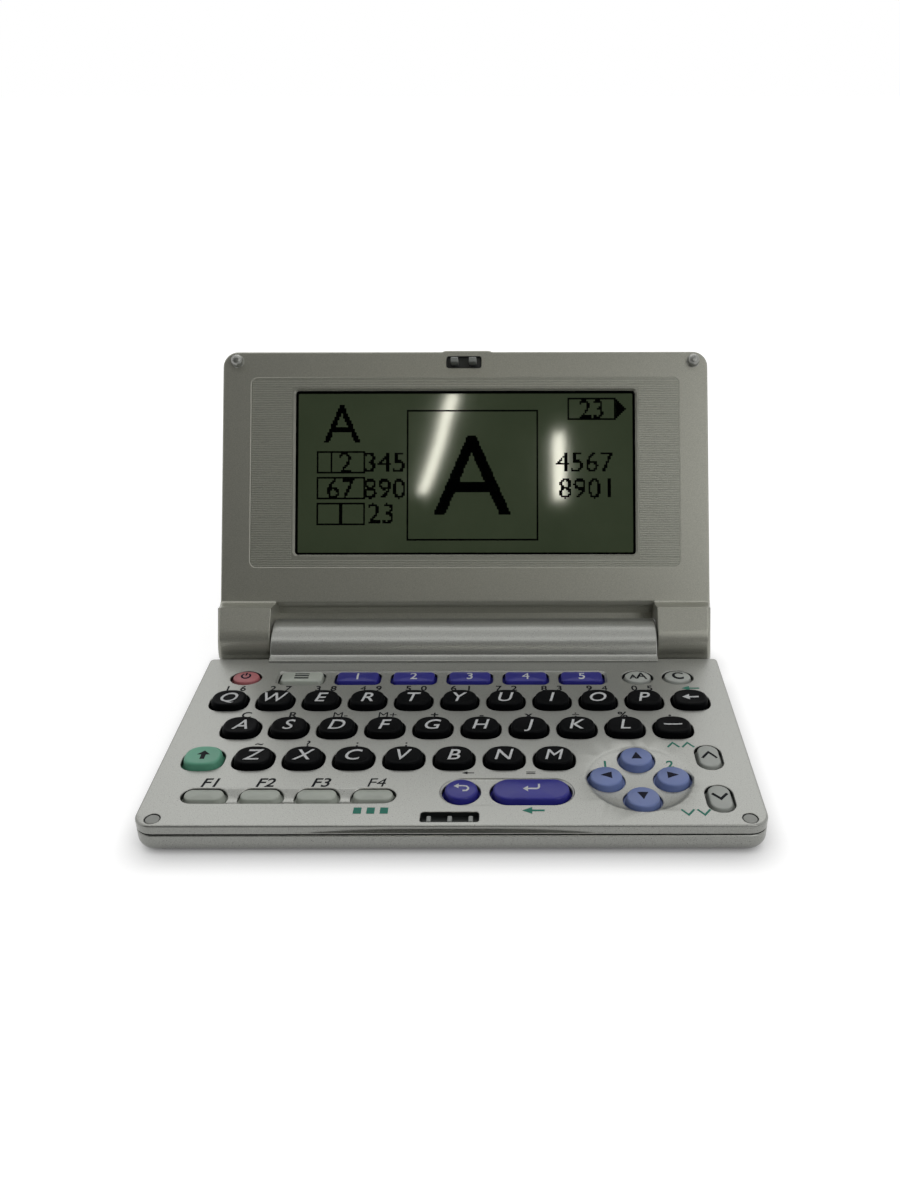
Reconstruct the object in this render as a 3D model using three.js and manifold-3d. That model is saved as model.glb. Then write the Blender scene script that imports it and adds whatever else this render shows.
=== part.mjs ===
// An electronic dictionary: a thin keyboard case with a hinged lid that holds the display.
// Millimetres, X across, +Y to the back, +Z up. The lid stands open at its working angle.
// The origin is the bottom centre of the whole object's box with the lid open.
import * as THREE from "three";
import { mergeVertices } from "three/addons/utils/BufferGeometryUtils.js";
import Module from "manifold-3d";

const wasm = await Module();
wasm.setup();

// Keyboard case
const key_pitch = 10; // letter keys, side to side
const letter_columns = 11;
const case_side_margin = 3.75; // beside the longest row of letter keys
const case_height = 6.5; // underside to deck
const deck_depth = 60.3; // front edge to the step in front of the lid's knuckles
const case_wall = 1.3;
const deck_thickness = 1.2;
const floor_thickness = 1.2;
const skirt_height = 2; // deck to the parting line
const parting_gap = 0.3;
const corner_radius = 3.7;
const deck_rear_radius = 1;
const top_edge_bevel = 0.4;
const bottom_edge_radius = 2.4;
const foot_height = 0.4;
const foot_radius = 3;
const foot_side_inset = 9;
const foot_front_inset = 8;
const foot_rear_inset = 11;
const overrun = 1; // how far a cutter runs past the face it opens
const contact_gap = 0.3; // between pieces that touch
const seat_gap = 0.2; // between flat pieces stacked on each other

// Hinge
const axis_run = 1; // hinge axis behind the barrel's centre
const axis_rise = 1.1; // hinge axis over the deck
const closed_gap = 1.85; // deck to the lid's face when it is shut
const open_angle = THREE.MathUtils.degToRad(120);
const knuckle_radius = 6;
const knuckle_wall = 1.3;
const knuckle_end_wall = 2;
const knuckle_side_inset = 0.25;
const knuckle_end_radius = 1;
const scoop_chamfer = 1.8; // inner corner of the scoop that a knuckle turns in
const hinge_side_gap = 0.35; // barrel end to knuckle end
const shaft_radius = 1.1;
const shaft_reach = 8; // how far the shaft enters each knuckle

// Barrel between the knuckles, an arch moulded on the upper case
const knuckle_length = 13.3;
const barrel_wall = 1.3;
const barrel_end_wall = 1.6;
const arch_radius = 7.9;
const arch_run = 7.7; // arch centre behind the deck's rear edge
const arch_drop = 2.6; // arch centre below the deck
const arch_rib_half = 0.7;
const lip_overlap = 1.7; // barrel's front lip over the deck
const lip_front_rise = 0.35;
const lip_back_rise = 0.7;

// Trough in the lid's lower edge, which clears the barrel as the lid turns
const trough_radius = 8.2;
const trough_offset = 0.54;
const trough_wall = 1.2;

// Lid
const lid_plate = 1.2;
const lid_wall = 1.3;
const lid_split = 2.5; // lid's face to the seam of its back cover
const lid_face_bevel = 0.4;
const lid_back_radius = 2;
const knuckle_ramp_start = 1.33; // along the lid, from the hinge axis
const knuckle_ramp_end = 6.68;
const knuckle_bevel_end = 8.4;
const panel_side_inset = 6.75;
const panel_bottom = 16.45;
const panel_top_inset = 6.2; // from the free edge
const panel_recess = 0.15;
const panel_corner = 1.7;
const window_side_inset = 17.85;
const window_bottom = 19.65;
const window_top_inset = 9.7;
const window_bevel = 0.6;
const window_bevel_depth = 0.6;
const window_corner = 0.8;
const display_margin = 2.6; // display glass beyond the window
const display_thickness = 1.8;
const display_rib_inset = 8;
const display_rib_width = 1.5;
const stud_side_inset = 3.55; // for the studs and the pads they meet
const stud_front = 2.35; // from the free edge
const stud_radius = 1.45;
const pad_recess = 0.3;
const bump_centre = 0.4;
const bump_half_width = 6.2;
const bump_height = 0.35;
const bump_slope = 1;

// Latch: hooks on the lid drop between posts in a pocket of the deck
const latch_centre = -0.35;
const pocket_half_width = 5.45;
const pocket_front = 1.15;
const pocket_depth = 2.95; // front to back
const pocket_drop = 1.3;
const pocket_floor = 0.6;
const pocket_wall = 0.8;
const pocket_corner = 0.6;
const post_half_width = 0.35;
const post_spread = 3.9; // outer posts from the latch centre
const post_below_deck = 0.35;
const slot_half_width = 4.25;
const slot_half_height = 1.45;
const slot_drop = 0.9;
const hook_spread = 2.2;
const hook_half_width = 0.9;
const hook_half_height = 0.6;
const hook_reach = 0.85; // hook tip below the deck when shut

// Keys: insets are from the case's side edges and setbacks from its front edge
const key_clearance = 0.3;
const key_travel = 0.7;
const key_flange = 0.5; // flange beyond the cap, and its thickness
const key_stop_gap = 0.3;
const key_draft = 0.3;
const key_crown = 0.35; // height of the rounded top edge
const letter_gap = 1.85;
const letter_depth = 7.1;
const letter_height = 1.2;
const letter_roundness = 2.9; // power of the cap's superellipse, 2 being an ellipse
const upper_row_inset = 8.5; // behind this row, up to the deck's rear edge
const upper_left_inset = 10.1;
const upper_right_inset = 10.25;
const subject_gap = 2.75;
const subject_depth = 4.7;
const subject_corner = 1.3;
const oval_width = 6.6;
const oval_depth = 5.5;
const clear_spacing = 9;
const upper_row_height = 0.55;
const subject_count = 5;
const q_row_share = 0.769; // of the way from the pill row to the upper row
const a_row_share = 0.523;
const z_row_share = 0.272;
const q_row_inset = 8.65;
const a_row_inset = 13.5;
const z_row_inset = 8.4;
const pill_left_inset = 11.35;
const pill_setback = 9;
const pill_gap = 2.6;
const pill_to_back = 16.7; // centre of the last pill to the back key's
const pill_depth = 3.9;
const pill_height = 0.55;
const pill_end_share = 0.499; // end radius as a share of the shorter side
const back_side = 1.5;
const enter_left_gap = 5.75; // from the back key's centre
const enter_right_gap = 2.75; // from the cursor recess
const enter_setback = 10.2;
const enter_depth = 7;
const enter_height = 1;
const cursor_side_inset = 22.7;
const cursor_front_gap = 3.8; // front edge to the cursor recess
const cursor_rear_gap = 2.4; // recess to the letter row behind it
const cursor_spread_share = 0.602; // of the recess radius, as is the next
const cursor_diameter_share = 0.655;
const cursor_height = 0.65;
const page_side_inset = 8.15;
const page_spread_share = 0.612; // of the recess radius, as is the next
const page_depth_share = 0.72;
const page_width = 4.8;
const page_height = 0.6;
const channel_margin = 0.5; // channel floor beyond the caps that stand in it
const channel_drop = 0.25;
const channel_corner = 1.2;
const finger_half_width = 29;
const finger_depth = 0.55;
const finger_top = 0.6; // below the deck
const finger_height = 1.1;

// Inside the case
const mat_thickness = 0.5;
const dome_height = 0.8;
const dome_share = 0.27; // dome radius as a share of its key's depth
const dome_top_share = 0.65;
const dome_clearance = 0.4;
const board_thickness = 0.8;
const board_rear_inset = 6.9; // short of the deck's rear edge
const mat_rear_inset = 6.6;
const chip_size = 12;
const chip_height = 0.6;
const chip_place_share = 0.46; // of the deck's depth
const chip_spacing = 34;
const post_radius = 1.6;
const post_side_inset = 18.75;
const post_place_shares = [0.232, 0.73]; // of the deck's depth
const cell_radius = 10;
const cell_height = 1.6;
const cell_cap_radius = 8.8;
const cell_cap_step = 0.3;
const cell_side_inset = 34.75;
const cell_rear_gap = 0.4; // to the battery cover's rear wall
const contact_offset = 9; // beside the cell's centre
const contact_half_width = 1.3;
const contact_thickness = 0.3;
const contact_front = 7.6; // riser in front of the cell's centre
const contact_end = 0.2;

// Battery cover, which slides off to the back
const cover_side_margin = 1.5; // beyond the cell
const cover_front_margin = 1;
const cover_rear_height = 2.6; // its part of the rear wall, over the floor
const cover_gap = 0.25;
const cover_rail = 0.8; // rail thickness, and its reach over the floor's edge

// Screw wells in the underside
const screw_radius = 1.5;
const screw_depth = 0.5;
const screw_side_inset = 5.75;
const screw_end_inset = 5.3; // from the front edge and from the deck's rear edge

// Levels and places worked out from the sizes above
const case_width = letter_columns * key_pitch + 2 * case_side_margin;
const left_edge = -case_width / 2;
const right_edge = case_width / 2;
const arch_setback = deck_depth + arch_run;
const axis_setback = arch_setback + axis_run; // front edge to the hinge axis
const lip_setback = deck_depth - lip_overlap;
const deck_z = foot_height + case_height;
const deck_inner_z = deck_z - deck_thickness;
const parting_z = deck_z - skirt_height;
const lower_rim_z = parting_z - parting_gap;
const floor_z = foot_height + floor_thickness;
const axis_z = deck_z + axis_rise;
const arch_z = deck_z - arch_drop;
const case_rear = arch_setback + arch_radius;
const knuckle_outer = right_edge - knuckle_side_inset;
const knuckle_inner = knuckle_outer - knuckle_length;
const barrel_half_length = knuckle_inner - hinge_side_gap;
const panel_half_width = right_edge - panel_side_inset;
const window_half_width = right_edge - window_side_inset;
const stud_side = right_edge - stud_side_inset;
const flange_top_z = deck_inner_z - seat_gap;
const flange_bottom_z = flange_top_z - key_flange;
const mat_top_z = flange_bottom_z - key_travel - key_stop_gap;
const board_top_z = mat_top_z - mat_thickness - seat_gap;
const board_bottom_z = board_top_z - board_thickness;
const lid_length = axis_setback;
const lid_face = axis_rise - closed_gap;
const lid_seam = lid_face - lid_split;
const lid_back = -knuckle_radius;
const panel_top = lid_length - panel_top_inset;
const window_top = lid_length - window_top_inset;
const stud_height = closed_gap + pad_recess - contact_gap;
const stud_reach = lid_length - stud_front;
const latch_reach = lid_length - pocket_front - pocket_depth / 2;

const letter_width = key_pitch - letter_gap;
const upper_row_setback = deck_depth - upper_row_inset;
const upper_row_start = left_edge + upper_left_inset;
const upper_row_end = right_edge - upper_right_inset;
const upper_row_pitch = (upper_row_end - clear_spacing - upper_row_start) / (subject_count + 2);
const subject_width = upper_row_pitch - subject_gap;
const row_span = upper_row_setback - pill_setback;
const q_row_setback = pill_setback + q_row_share * row_span;
const a_row_setback = pill_setback + a_row_share * row_span;
const z_row_setback = pill_setback + z_row_share * row_span;
const pill_names = ["lookup", "jump", "guide", "bookmark"];
const pill_row_start = left_edge + pill_left_inset;
const pill_pitch = (back_side - pill_to_back - pill_row_start) / (pill_names.length - 1);
const pill_width = pill_pitch - pill_gap;
const cursor_rear = a_row_setback - letter_depth / 2 - cursor_rear_gap;
const cursor_recess_radius = (cursor_rear - cursor_front_gap) / 2;
const cursor_setback = cursor_front_gap + cursor_recess_radius;
const cursor_side = right_edge - cursor_side_inset;
const cursor_spread = cursor_spread_share * cursor_recess_radius;
const cursor_diameter = cursor_diameter_share * cursor_recess_radius;
const page_side = right_edge - page_side_inset;
const page_spread = page_spread_share * cursor_recess_radius;
const page_depth = page_depth_share * cursor_recess_radius;
const enter_left = back_side + enter_left_gap;
const enter_right = cursor_side - cursor_recess_radius - enter_right_gap;
const enter_side = (enter_left + enter_right) / 2;
const enter_width = enter_right - enter_left;

const board_rear = deck_depth - board_rear_inset;
const mat_rear = deck_depth - mat_rear_inset;
const cell_side = right_edge - cell_side_inset;
const cell_setback = case_rear - case_wall - cell_rear_gap - cell_radius;
const contact_side = cell_side + contact_offset;
const contact_riser = cell_setback - contact_front;
const contact_reach = cell_setback - contact_end;
const cover_width = 2 * (cell_radius + cover_side_margin);
const cover_front = cell_setback - cell_radius - cover_front_margin;

// Round stretches: how many straight steps each takes
const corner_steps = 4;
const small_corner_steps = 2;
const pill_end_steps = 3;
const finger_steps = 8;
const edge_steps = 3;
const arch_steps = 12;
const knuckle_steps = 20;
const trough_steps = 40;
const key_points = 12;
const round_key_points = 16;
const dome_points = 6;
const bore_points = 12;
const disc_points = 28;
const stud_points = 12;

// Outlines, all anticlockwise lists of 2-D points

function arc(x, y, radius, from, to, steps) {
  const points = [];
  for (let i = 0; i <= steps; i++) {
    const angle = from + ((to - from) * i) / steps;
    points.push(new THREE.Vector2(x + radius * Math.cos(angle), y + radius * Math.sin(angle)));
  }
  return points;
}

function slab(left, right, front, rear, front_radius, rear_radius, steps = corner_steps) {
  const quarter = Math.PI / 2;
  return [
    ...arc(left + front_radius, front + front_radius, front_radius, 2 * quarter, 3 * quarter, steps),
    ...arc(right - front_radius, front + front_radius, front_radius, 3 * quarter, 4 * quarter, steps),
    ...arc(right - rear_radius, rear - rear_radius, rear_radius, 0, quarter, steps),
    ...arc(left + rear_radius, rear - rear_radius, rear_radius, quarter, 2 * quarter, steps),
  ];
}

function rounded(width, depth, radius, steps) {
  return slab(-width / 2, width / 2, -depth / 2, depth / 2, radius, radius, steps);
}

function superellipse(width, depth, power, count) {
  const points = [];
  for (let i = 0; i < count; i++) {
    const angle = (2 * Math.PI * (i + 0.5)) / count;
    const c = Math.cos(angle);
    const s = Math.sin(angle);
    const x = (width / 2) * Math.sign(c) * Math.abs(c) ** (2 / power);
    const y = (depth / 2) * Math.sign(s) * Math.abs(s) ** (2 / power);
    points.push(new THREE.Vector2(x, y));
  }
  return points;
}

function moved(points, x, y) {
  return points.map((p) => new THREE.Vector2(p.x + x, p.y + y));
}

// Solids

function solid(geometry) {
  const bare = geometry.index ? geometry.toNonIndexed() : geometry.clone();
  for (const name of Object.keys(bare.attributes)) {
    if (name !== "position") bare.deleteAttribute(name);
  }
  const merged = mergeVertices(bare);
  return new wasm.Manifold(
    new wasm.Mesh({
      numProp: 3,
      vertProperties: merged.attributes.position.array,
      triVerts: new Uint32Array(merged.index.array),
    }),
  );
}

function box(x0, x1, y0, y1, z0, z1) {
  const geometry = new THREE.BoxGeometry(x1 - x0, y1 - y0, z1 - z0);
  return solid(geometry.translate((x0 + x1) / 2, (y0 + y1) / 2, (z0 + z1) / 2));
}

function prism(points, z0, z1) {
  const shape = new THREE.Shape(points);
  return solid(
    new THREE.ExtrudeGeometry(shape, { depth: z1 - z0, bevelEnabled: false }).translate(0, 0, z0),
  );
}

// Turns a shape drawn on (y, z) and built upwards, so that it runs along X
const along_x = new THREE.Matrix4().makeBasis(
  new THREE.Vector3(0, 1, 0),
  new THREE.Vector3(0, 0, 1),
  new THREE.Vector3(1, 0, 0),
);

function bar(profile, x0, x1) {
  const shape = new THREE.Shape(profile);
  return solid(
    new THREE.ExtrudeGeometry(shape, { depth: x1 - x0, bevelEnabled: false })
      .applyMatrix4(along_x)
      .translate(x0, 0, 0),
  );
}

function rod(y, z, radius, x0, x1, steps) {
  return bar(arc(y, z, radius, 0, 2 * Math.PI, steps).slice(0, steps), x0, x1);
}

function disc(x, y, radius, z0, z1, steps) {
  return prism(arc(x, y, radius, 0, 2 * Math.PI, steps).slice(0, steps), z0, z1);
}

// Outlines of equal count joined one above the other, with flat ends
function stackGeometry(levels) {
  const count = levels[0].points.length;
  const positions = levels.flatMap(({ z, points }) => points.flatMap((p) => [p.x, p.y, z]));
  const faces = [];
  for (let level = 0; level < levels.length - 1; level++) {
    for (let i = 0; i < count; i++) {
      const a = level * count + i;
      const b = level * count + ((i + 1) % count);
      faces.push(a, b, b + count, a, b + count, a + count);
    }
  }
  const last = (levels.length - 1) * count;
  for (const [a, b, c] of THREE.ShapeUtils.triangulateShape(levels[0].points, [])) {
    faces.push(c, b, a);
  }
  for (const [a, b, c] of THREE.ShapeUtils.triangulateShape(levels.at(-1).points, [])) {
    faces.push(last + a, last + b, last + c);
  }
  const geometry = new THREE.BufferGeometry();
  geometry.setAttribute("position", new THREE.Float32BufferAttribute(positions, 3));
  geometry.setIndex(faces);
  return geometry;
}

function stack(levels) {
  return solid(stackGeometry(levels));
}

// Levels of a rounded lower edge: outline(inset) shrinks towards the face at z
function edgeLevels(outline, z, radius, upwards) {
  const levels = [];
  for (let i = 0; i <= edge_steps; i++) {
    const angle = ((Math.PI / 2) * i) / edge_steps;
    const inset = radius * (1 - Math.sin(angle));
    const rise = radius * (1 - Math.cos(angle));
    levels.push({ z: z + upwards * rise, points: outline(inset) });
  }
  return levels;
}

// Materials
function material(name, color, roughness, metalness = 0) {
  return new THREE.MeshStandardMaterial({ name, color, roughness, metalness });
}
const finishes = {
  silver: material("silver_paint", 0xa6a8a2, 0.42, 0.3),
  black: material("black_key", 0x17181b, 0.35),
  blue: material("blue_key", 0x2c2b8f, 0.35),
  periwinkle: material("periwinkle_key", 0x7487b8, 0.4),
  green: material("green_key", 0x5fae8d, 0.4),
  red: material("red_key", 0xb56a70, 0.4),
  pale: material("pale_key", 0xbfc6ba, 0.4),
  key_grey: material("grey_key", 0xa3a8a2, 0.4),
  glass: material("display_glass", 0x3d4a3c, 0.12),
  rubber: material("rubber_mat", 0xc9c9c4, 0.7),
  board: material("circuit_board", 0x2f6b46, 0.5),
  steel: material("steel", 0xb9bcc0, 0.3, 1),
};

const dictionary = new THREE.Group();
const lid = new THREE.Group();
dictionary.add(lid);

function piece(parent, name, body, finish) {
  const mesh = body.getMesh();
  const geometry = new THREE.BufferGeometry();
  geometry.setAttribute("position", new THREE.BufferAttribute(mesh.vertProperties, 3));
  geometry.setIndex(new THREE.BufferAttribute(mesh.triVerts, 1));
  geometry.computeVertexNormals();
  const made = new THREE.Mesh(geometry, finish);
  made.name = name;
  parent.add(made);
}

// Key list

function keyOutline(kind, width, depth, grow) {
  const wide = width + 2 * grow;
  const deep = depth + 2 * grow;
  if (kind === "letter") return superellipse(wide, deep, letter_roundness, key_points);
  if (kind === "oval") return superellipse(wide, deep, 2, round_key_points);
  if (kind === "block") return rounded(wide, deep, subject_corner + grow, small_corner_steps);
  return rounded(wide, deep, Math.min(wide, deep) * pill_end_share, pill_end_steps);
}
const keys = [];
function addKey(name, kind, x, y, width, depth, height, finish) {
  keys.push({ name: "key_" + name, kind, x, y, width, depth, height, finish });
}

function listKeys() {
  const upper = (name, kind, i, width, depth, finish) =>
    addKey(
      name,
      kind,
      upper_row_start + i * upper_row_pitch,
      upper_row_setback,
      width,
      depth,
      upper_row_height,
      finish,
    );
  upper("power", "oval", 0, oval_width, oval_depth, finishes.red);
  upper("menu", "block", 1, subject_width, subject_depth, finishes.pale);
  for (let i = 1; i <= subject_count; i++) {
    upper("dictionary_" + i, "block", i + 1, subject_width, subject_depth, finishes.blue);
  }
  const last = subject_count + 2;
  upper("text_size", "oval", last, oval_width, oval_depth, finishes.key_grey);
  const clear_x = upper_row_start + last * upper_row_pitch + clear_spacing;
  addKey(
    "clear",
    "oval",
    clear_x,
    upper_row_setback,
    oval_width,
    oval_depth,
    upper_row_height,
    finishes.key_grey,
  );

  const rows = [
    [["q", "w", "e", "r", "t", "y", "u", "i", "o", "p", "backspace"], q_row_inset, q_row_setback],
    [["a", "s", "d", "f", "g", "h", "j", "k", "l", "dash"], a_row_inset, a_row_setback],
    [["shift", "z", "x", "c", "v", "b", "n", "m"], z_row_inset, z_row_setback],
  ];
  for (const [names, inset, setback] of rows) {
    names.forEach((name, i) => {
      const finish = name === "shift" ? finishes.green : finishes.black;
      const x = left_edge + inset + i * key_pitch;
      addKey(name, "letter", x, setback, letter_width, letter_depth, letter_height, finish);
    });
  }

  pill_names.forEach((name, i) => {
    const x = pill_row_start + i * pill_pitch;
    addKey(name, "pill", x, pill_setback, pill_width, pill_depth, pill_height, finishes.pale);
  });
  const back = [back_side, enter_setback, enter_depth, enter_depth];
  addKey("back", "oval", ...back, enter_height, finishes.blue);
  const enter = [enter_side, enter_setback, enter_width, enter_depth];
  addKey("enter", "pill", ...enter, enter_height, finishes.blue);

  const directions = { up: [0, 1], left: [-1, 0], right: [1, 0], down: [0, -1] };
  for (const [name, [across, along]] of Object.entries(directions)) {
    const x = cursor_side + across * cursor_spread;
    const y = cursor_setback + along * cursor_spread;
    const size = [cursor_diameter, cursor_diameter, cursor_height];
    addKey(name, "oval", x, y, ...size, finishes.periwinkle);
  }
  const page = [page_width, page_depth, page_height, finishes.key_grey];
  addKey("page_up", "pill", page_side, cursor_setback + page_spread, ...page);
  addKey("page_down", "pill", page_side, cursor_setback - page_spread, ...page);
}

// Each key is a cap with a flange under the deck and a hollow that drops over its dome.
function makeKey(key) {
  const at = (grow) => moved(keyOutline(key.kind, key.width, key.depth, grow), key.x, key.y);
  const top_z = deck_z + key.height;
  const cap = stack([
    { z: flange_bottom_z, points: at(key_flange) },
    { z: flange_top_z, points: at(key_flange) },
    { z: flange_top_z, points: at(0) },
    { z: top_z - key_crown, points: at(-key_draft) },
    { z: top_z, points: at(-key_draft - key_crown) },
  ]);
  const hollow_radius = key.depth * dome_share + dome_clearance;
  const hollow_top = mat_top_z + dome_height + key_travel + key_stop_gap;
  const hollow = disc(
    key.x,
    key.y,
    hollow_radius,
    flange_bottom_z - overrun,
    hollow_top,
    dome_points,
  );
  piece(dictionary, key.name, cap.subtract(hollow), key.finish);
}

// Upper case: deck with key holes, skirt, and the barrel arch behind it

function deckOutline(inset) {
  const side = case_width / 2 - inset;
  return slab(
    -side,
    side,
    inset,
    deck_depth - inset,
    corner_radius - inset,
    Math.max(deck_rear_radius - inset, deck_rear_radius / 4),
  );
}

function barrelArch() {
  const foot = Math.PI - Math.asin((lip_back_rise + arch_drop) / arch_radius);
  const end = Math.asin((parting_z - arch_z) / arch_radius);
  const profile = [
    new THREE.Vector2(lip_setback, parting_z),
    ...arc(arch_setback, arch_z, arch_radius, end, foot, arch_steps),
    new THREE.Vector2(lip_setback, deck_z + lip_front_rise),
  ];
  return bar(profile, -barrel_half_length, barrel_half_length);
}

function barrelHollow() {
  const inner = barrel_half_length - barrel_end_wall;
  const radius = arch_radius - barrel_wall;
  const profile = [
    new THREE.Vector2(arch_setback - radius, parting_z - overrun),
    new THREE.Vector2(arch_setback + radius, parting_z - overrun),
    ...arc(arch_setback, arch_z, radius, 0, Math.PI, arch_steps),
  ];
  const passage = box(
    -inner,
    inner,
    deck_depth - case_wall - overrun,
    arch_setback,
    parting_z - overrun,
    deck_inner_z,
  );
  return bar(profile, -inner, inner).add(passage);
}

// Ribs inside the arch that steady the shaft
function archRibs() {
  const radius = arch_radius - barrel_wall / 2;
  const profile = arc(arch_setback, arch_z, radius, 0, Math.PI, arch_steps);
  const low = box(
    -case_width,
    case_width,
    0,
    case_rear + overrun,
    0,
    deck_inner_z,
  );
  const places = [-1, 1].map((side) => (side * barrel_half_length) / 3);
  return places.map((x) => bar(profile, x - arch_rib_half, x + arch_rib_half).subtract(low));
}

function latchPocket() {
  const left = latch_centre - pocket_half_width;
  const right = latch_centre + pocket_half_width;
  const rear = pocket_front + pocket_depth;
  const floor = deck_z - pocket_drop;
  const well = box(
    left - pocket_wall,
    right + pocket_wall,
    case_wall / 2,
    rear + pocket_wall,
    floor - pocket_floor,
    deck_z - deck_thickness / 2,
  );
  const corner = [pocket_corner, pocket_corner, small_corner_steps];
  const cut = prism(slab(left, right, pocket_front, rear, ...corner), floor, deck_z + overrun);
  const posts = [-1, 0, 1].map((side) => {
    const x = latch_centre + side * post_spread;
    return box(
      x - post_half_width,
      x + post_half_width,
      pocket_front + pocket_depth / 4,
      rear - pocket_depth / 4,
      floor - pocket_floor / 2,
      deck_z - post_below_deck,
    );
  });
  return { well, cut, posts };
}

// Shallow channels and the round recess that some of the keys stand in
function rowChannel(start, pitch, count, setback, width, depth) {
  const end = width / 2 + channel_margin;
  const side = depth / 2 + channel_margin;
  return slab(
    start - end,
    start + (count - 1) * pitch + end,
    setback - side,
    setback + side,
    channel_corner,
    channel_corner,
    small_corner_steps,
  );
}

function keyChannels() {
  const drop = deck_z - channel_drop;
  const top = deck_z + overrun;
  const pills = rowChannel(
    pill_row_start,
    pill_pitch,
    pill_names.length,
    pill_setback,
    pill_width,
    pill_depth,
  );
  const subjects = rowChannel(
    upper_row_start + upper_row_pitch,
    upper_row_pitch,
    subject_count + 1,
    upper_row_setback,
    subject_width,
    subject_depth,
  );
  const enter_end = enter_width / 2 + channel_margin;
  const deep = enter_depth / 2 + channel_margin;
  const entry = slab(
    back_side - deep,
    enter_side + enter_end,
    enter_setback - deep,
    enter_setback + deep,
    2 * deep * pill_end_share,
    2 * deep * pill_end_share,
  );
  return [
    prism(pills, drop, top),
    prism(subjects, drop, top),
    prism(entry, drop, top),
    disc(cursor_side, cursor_setback, cursor_recess_radius, drop, top, disc_points),
  ];
}

// A lens-shaped scallop in the front of the skirt, for the fingertip that opens the lid
function fingerRecess() {
  const points = [new THREE.Vector2(finger_half_width, -overrun)];
  for (let i = 0; i <= finger_steps; i++) {
    const share = 1 - (2 * i) / finger_steps;
    points.push(new THREE.Vector2(finger_half_width * share, finger_depth * (1 - share * share)));
  }
  points.push(new THREE.Vector2(-finger_half_width, -overrun));
  const top = deck_z - finger_top;
  return prism(points, top - finger_height, top);
}

function makeUpperCase() {
  let body = stack([
    { z: parting_z, points: deckOutline(0) },
    { z: deck_z - top_edge_bevel, points: deckOutline(0) },
    { z: deck_z, points: deckOutline(top_edge_bevel) },
  ]);
  body = body.add(barrelArch());
  body = body.subtract(prism(deckOutline(case_wall), parting_z - overrun, deck_inner_z));
  body = body.subtract(barrelHollow());
  for (const rib of archRibs()) body = body.add(rib);
  const reach = barrel_half_length + overrun;
  const bore = shaft_radius + contact_gap;
  body = body.subtract(rod(axis_setback, axis_z, bore, -reach, reach, bore_points));
  const pocket = latchPocket();
  body = body.add(pocket.well).subtract(pocket.cut);
  for (const post of pocket.posts) body = body.add(post);
  for (const channel of keyChannels()) body = body.subtract(channel);
  for (const side of [-1, 1]) {
    const pad = [side * stud_side, stud_front, stud_radius + contact_gap / 3];
    body = body.subtract(disc(...pad, deck_z - pad_recess, deck_z + overrun, stud_points));
  }
  body = body.subtract(fingerRecess());
  for (const key of keys) {
    const outline = keyOutline(key.kind, key.width, key.depth, key_clearance);
    const hole = prism(moved(outline, key.x, key.y), deck_inner_z - overrun, deck_z + overrun);
    body = body.subtract(hole);
  }
  piece(dictionary, "upper_case", body, finishes.silver);
}

// Lower case: tray with feet, battery bay and the scoops that the knuckles turn in

function trayOutline(inset) {
  const side = case_width / 2 - inset;
  const radius = corner_radius - inset;
  return slab(-side, side, inset, case_rear - inset, radius, radius);
}

function trayShell() {
  return stack([
    ...edgeLevels(trayOutline, foot_height, bottom_edge_radius, 1),
    { z: lower_rim_z, points: trayOutline(0) },
  ]);
}

function knuckleScoop() {
  const low = axis_z - knuckle_radius - contact_gap;
  return [
    new THREE.Vector2(deck_depth, lower_rim_z + overrun),
    new THREE.Vector2(deck_depth, low + scoop_chamfer),
    new THREE.Vector2(deck_depth + scoop_chamfer, low),
    new THREE.Vector2(case_rear + overrun, low),
    new THREE.Vector2(case_rear + overrun, lower_rim_z + overrun),
  ];
}

function coverOpening() {
  const half = cover_width / 2 + cover_gap;
  const rail = half + cover_rail;
  const rear = case_rear + overrun;
  const rail_top = floor_z + cover_gap + cover_rail + cover_gap;
  const bay = box(
    cell_side - half,
    cell_side + half,
    cover_front - cover_gap,
    rear,
    -overrun,
    floor_z + cover_rear_height + cover_gap,
  );
  const rails = box(cell_side - rail, cell_side + rail, cell_setback, rear, floor_z, rail_top);
  return bay.add(rails);
}

function makeLowerCase() {
  let body = trayShell();
  const top = lower_rim_z + overrun;
  const side = case_width / 2 - case_wall;
  const inner_corner = corner_radius - case_wall;
  const tray = slab(
    -side,
    side,
    case_wall,
    deck_depth - case_wall,
    inner_corner,
    inner_corner,
  );
  body = body.subtract(prism(tray, floor_z, top));
  const inner = barrel_half_length - barrel_end_wall;
  const from = deck_depth - case_wall - overrun;
  body = body.subtract(box(-inner, inner, from, case_rear - case_wall, floor_z, top));
  for (const [x0, x1] of [
    [barrel_half_length, case_width],
    [-case_width, -barrel_half_length],
  ]) {
    body = body.subtract(bar(knuckleScoop(), x0, x1));
  }
  body = body.subtract(coverOpening());
  const join = floor_thickness / 2;
  for (const x of [-1, 1].map((s) => s * (case_width / 2 - foot_side_inset))) {
    for (const y of [foot_front_inset, case_rear - foot_rear_inset]) {
      body = body.add(disc(x, y, foot_radius, 0, foot_height + join, disc_points / 2));
    }
  }
  for (const x of [left_edge + post_side_inset, 0, right_edge - post_side_inset]) {
    for (const y of post_place_shares.map((share) => share * deck_depth)) {
      const post = disc(x, y, post_radius, floor_z - join, board_bottom_z - seat_gap, bore_points);
      body = body.add(post);
    }
  }
  for (const x of [left_edge + screw_side_inset, right_edge - screw_side_inset]) {
    for (const y of [screw_end_inset, deck_depth - screw_end_inset]) {
      const well = [x, y, screw_radius, -overrun, foot_height + screw_depth, bore_points];
      body = body.subtract(disc(...well));
    }
  }
  piece(dictionary, "lower_case", body, finishes.silver);
}

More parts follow.
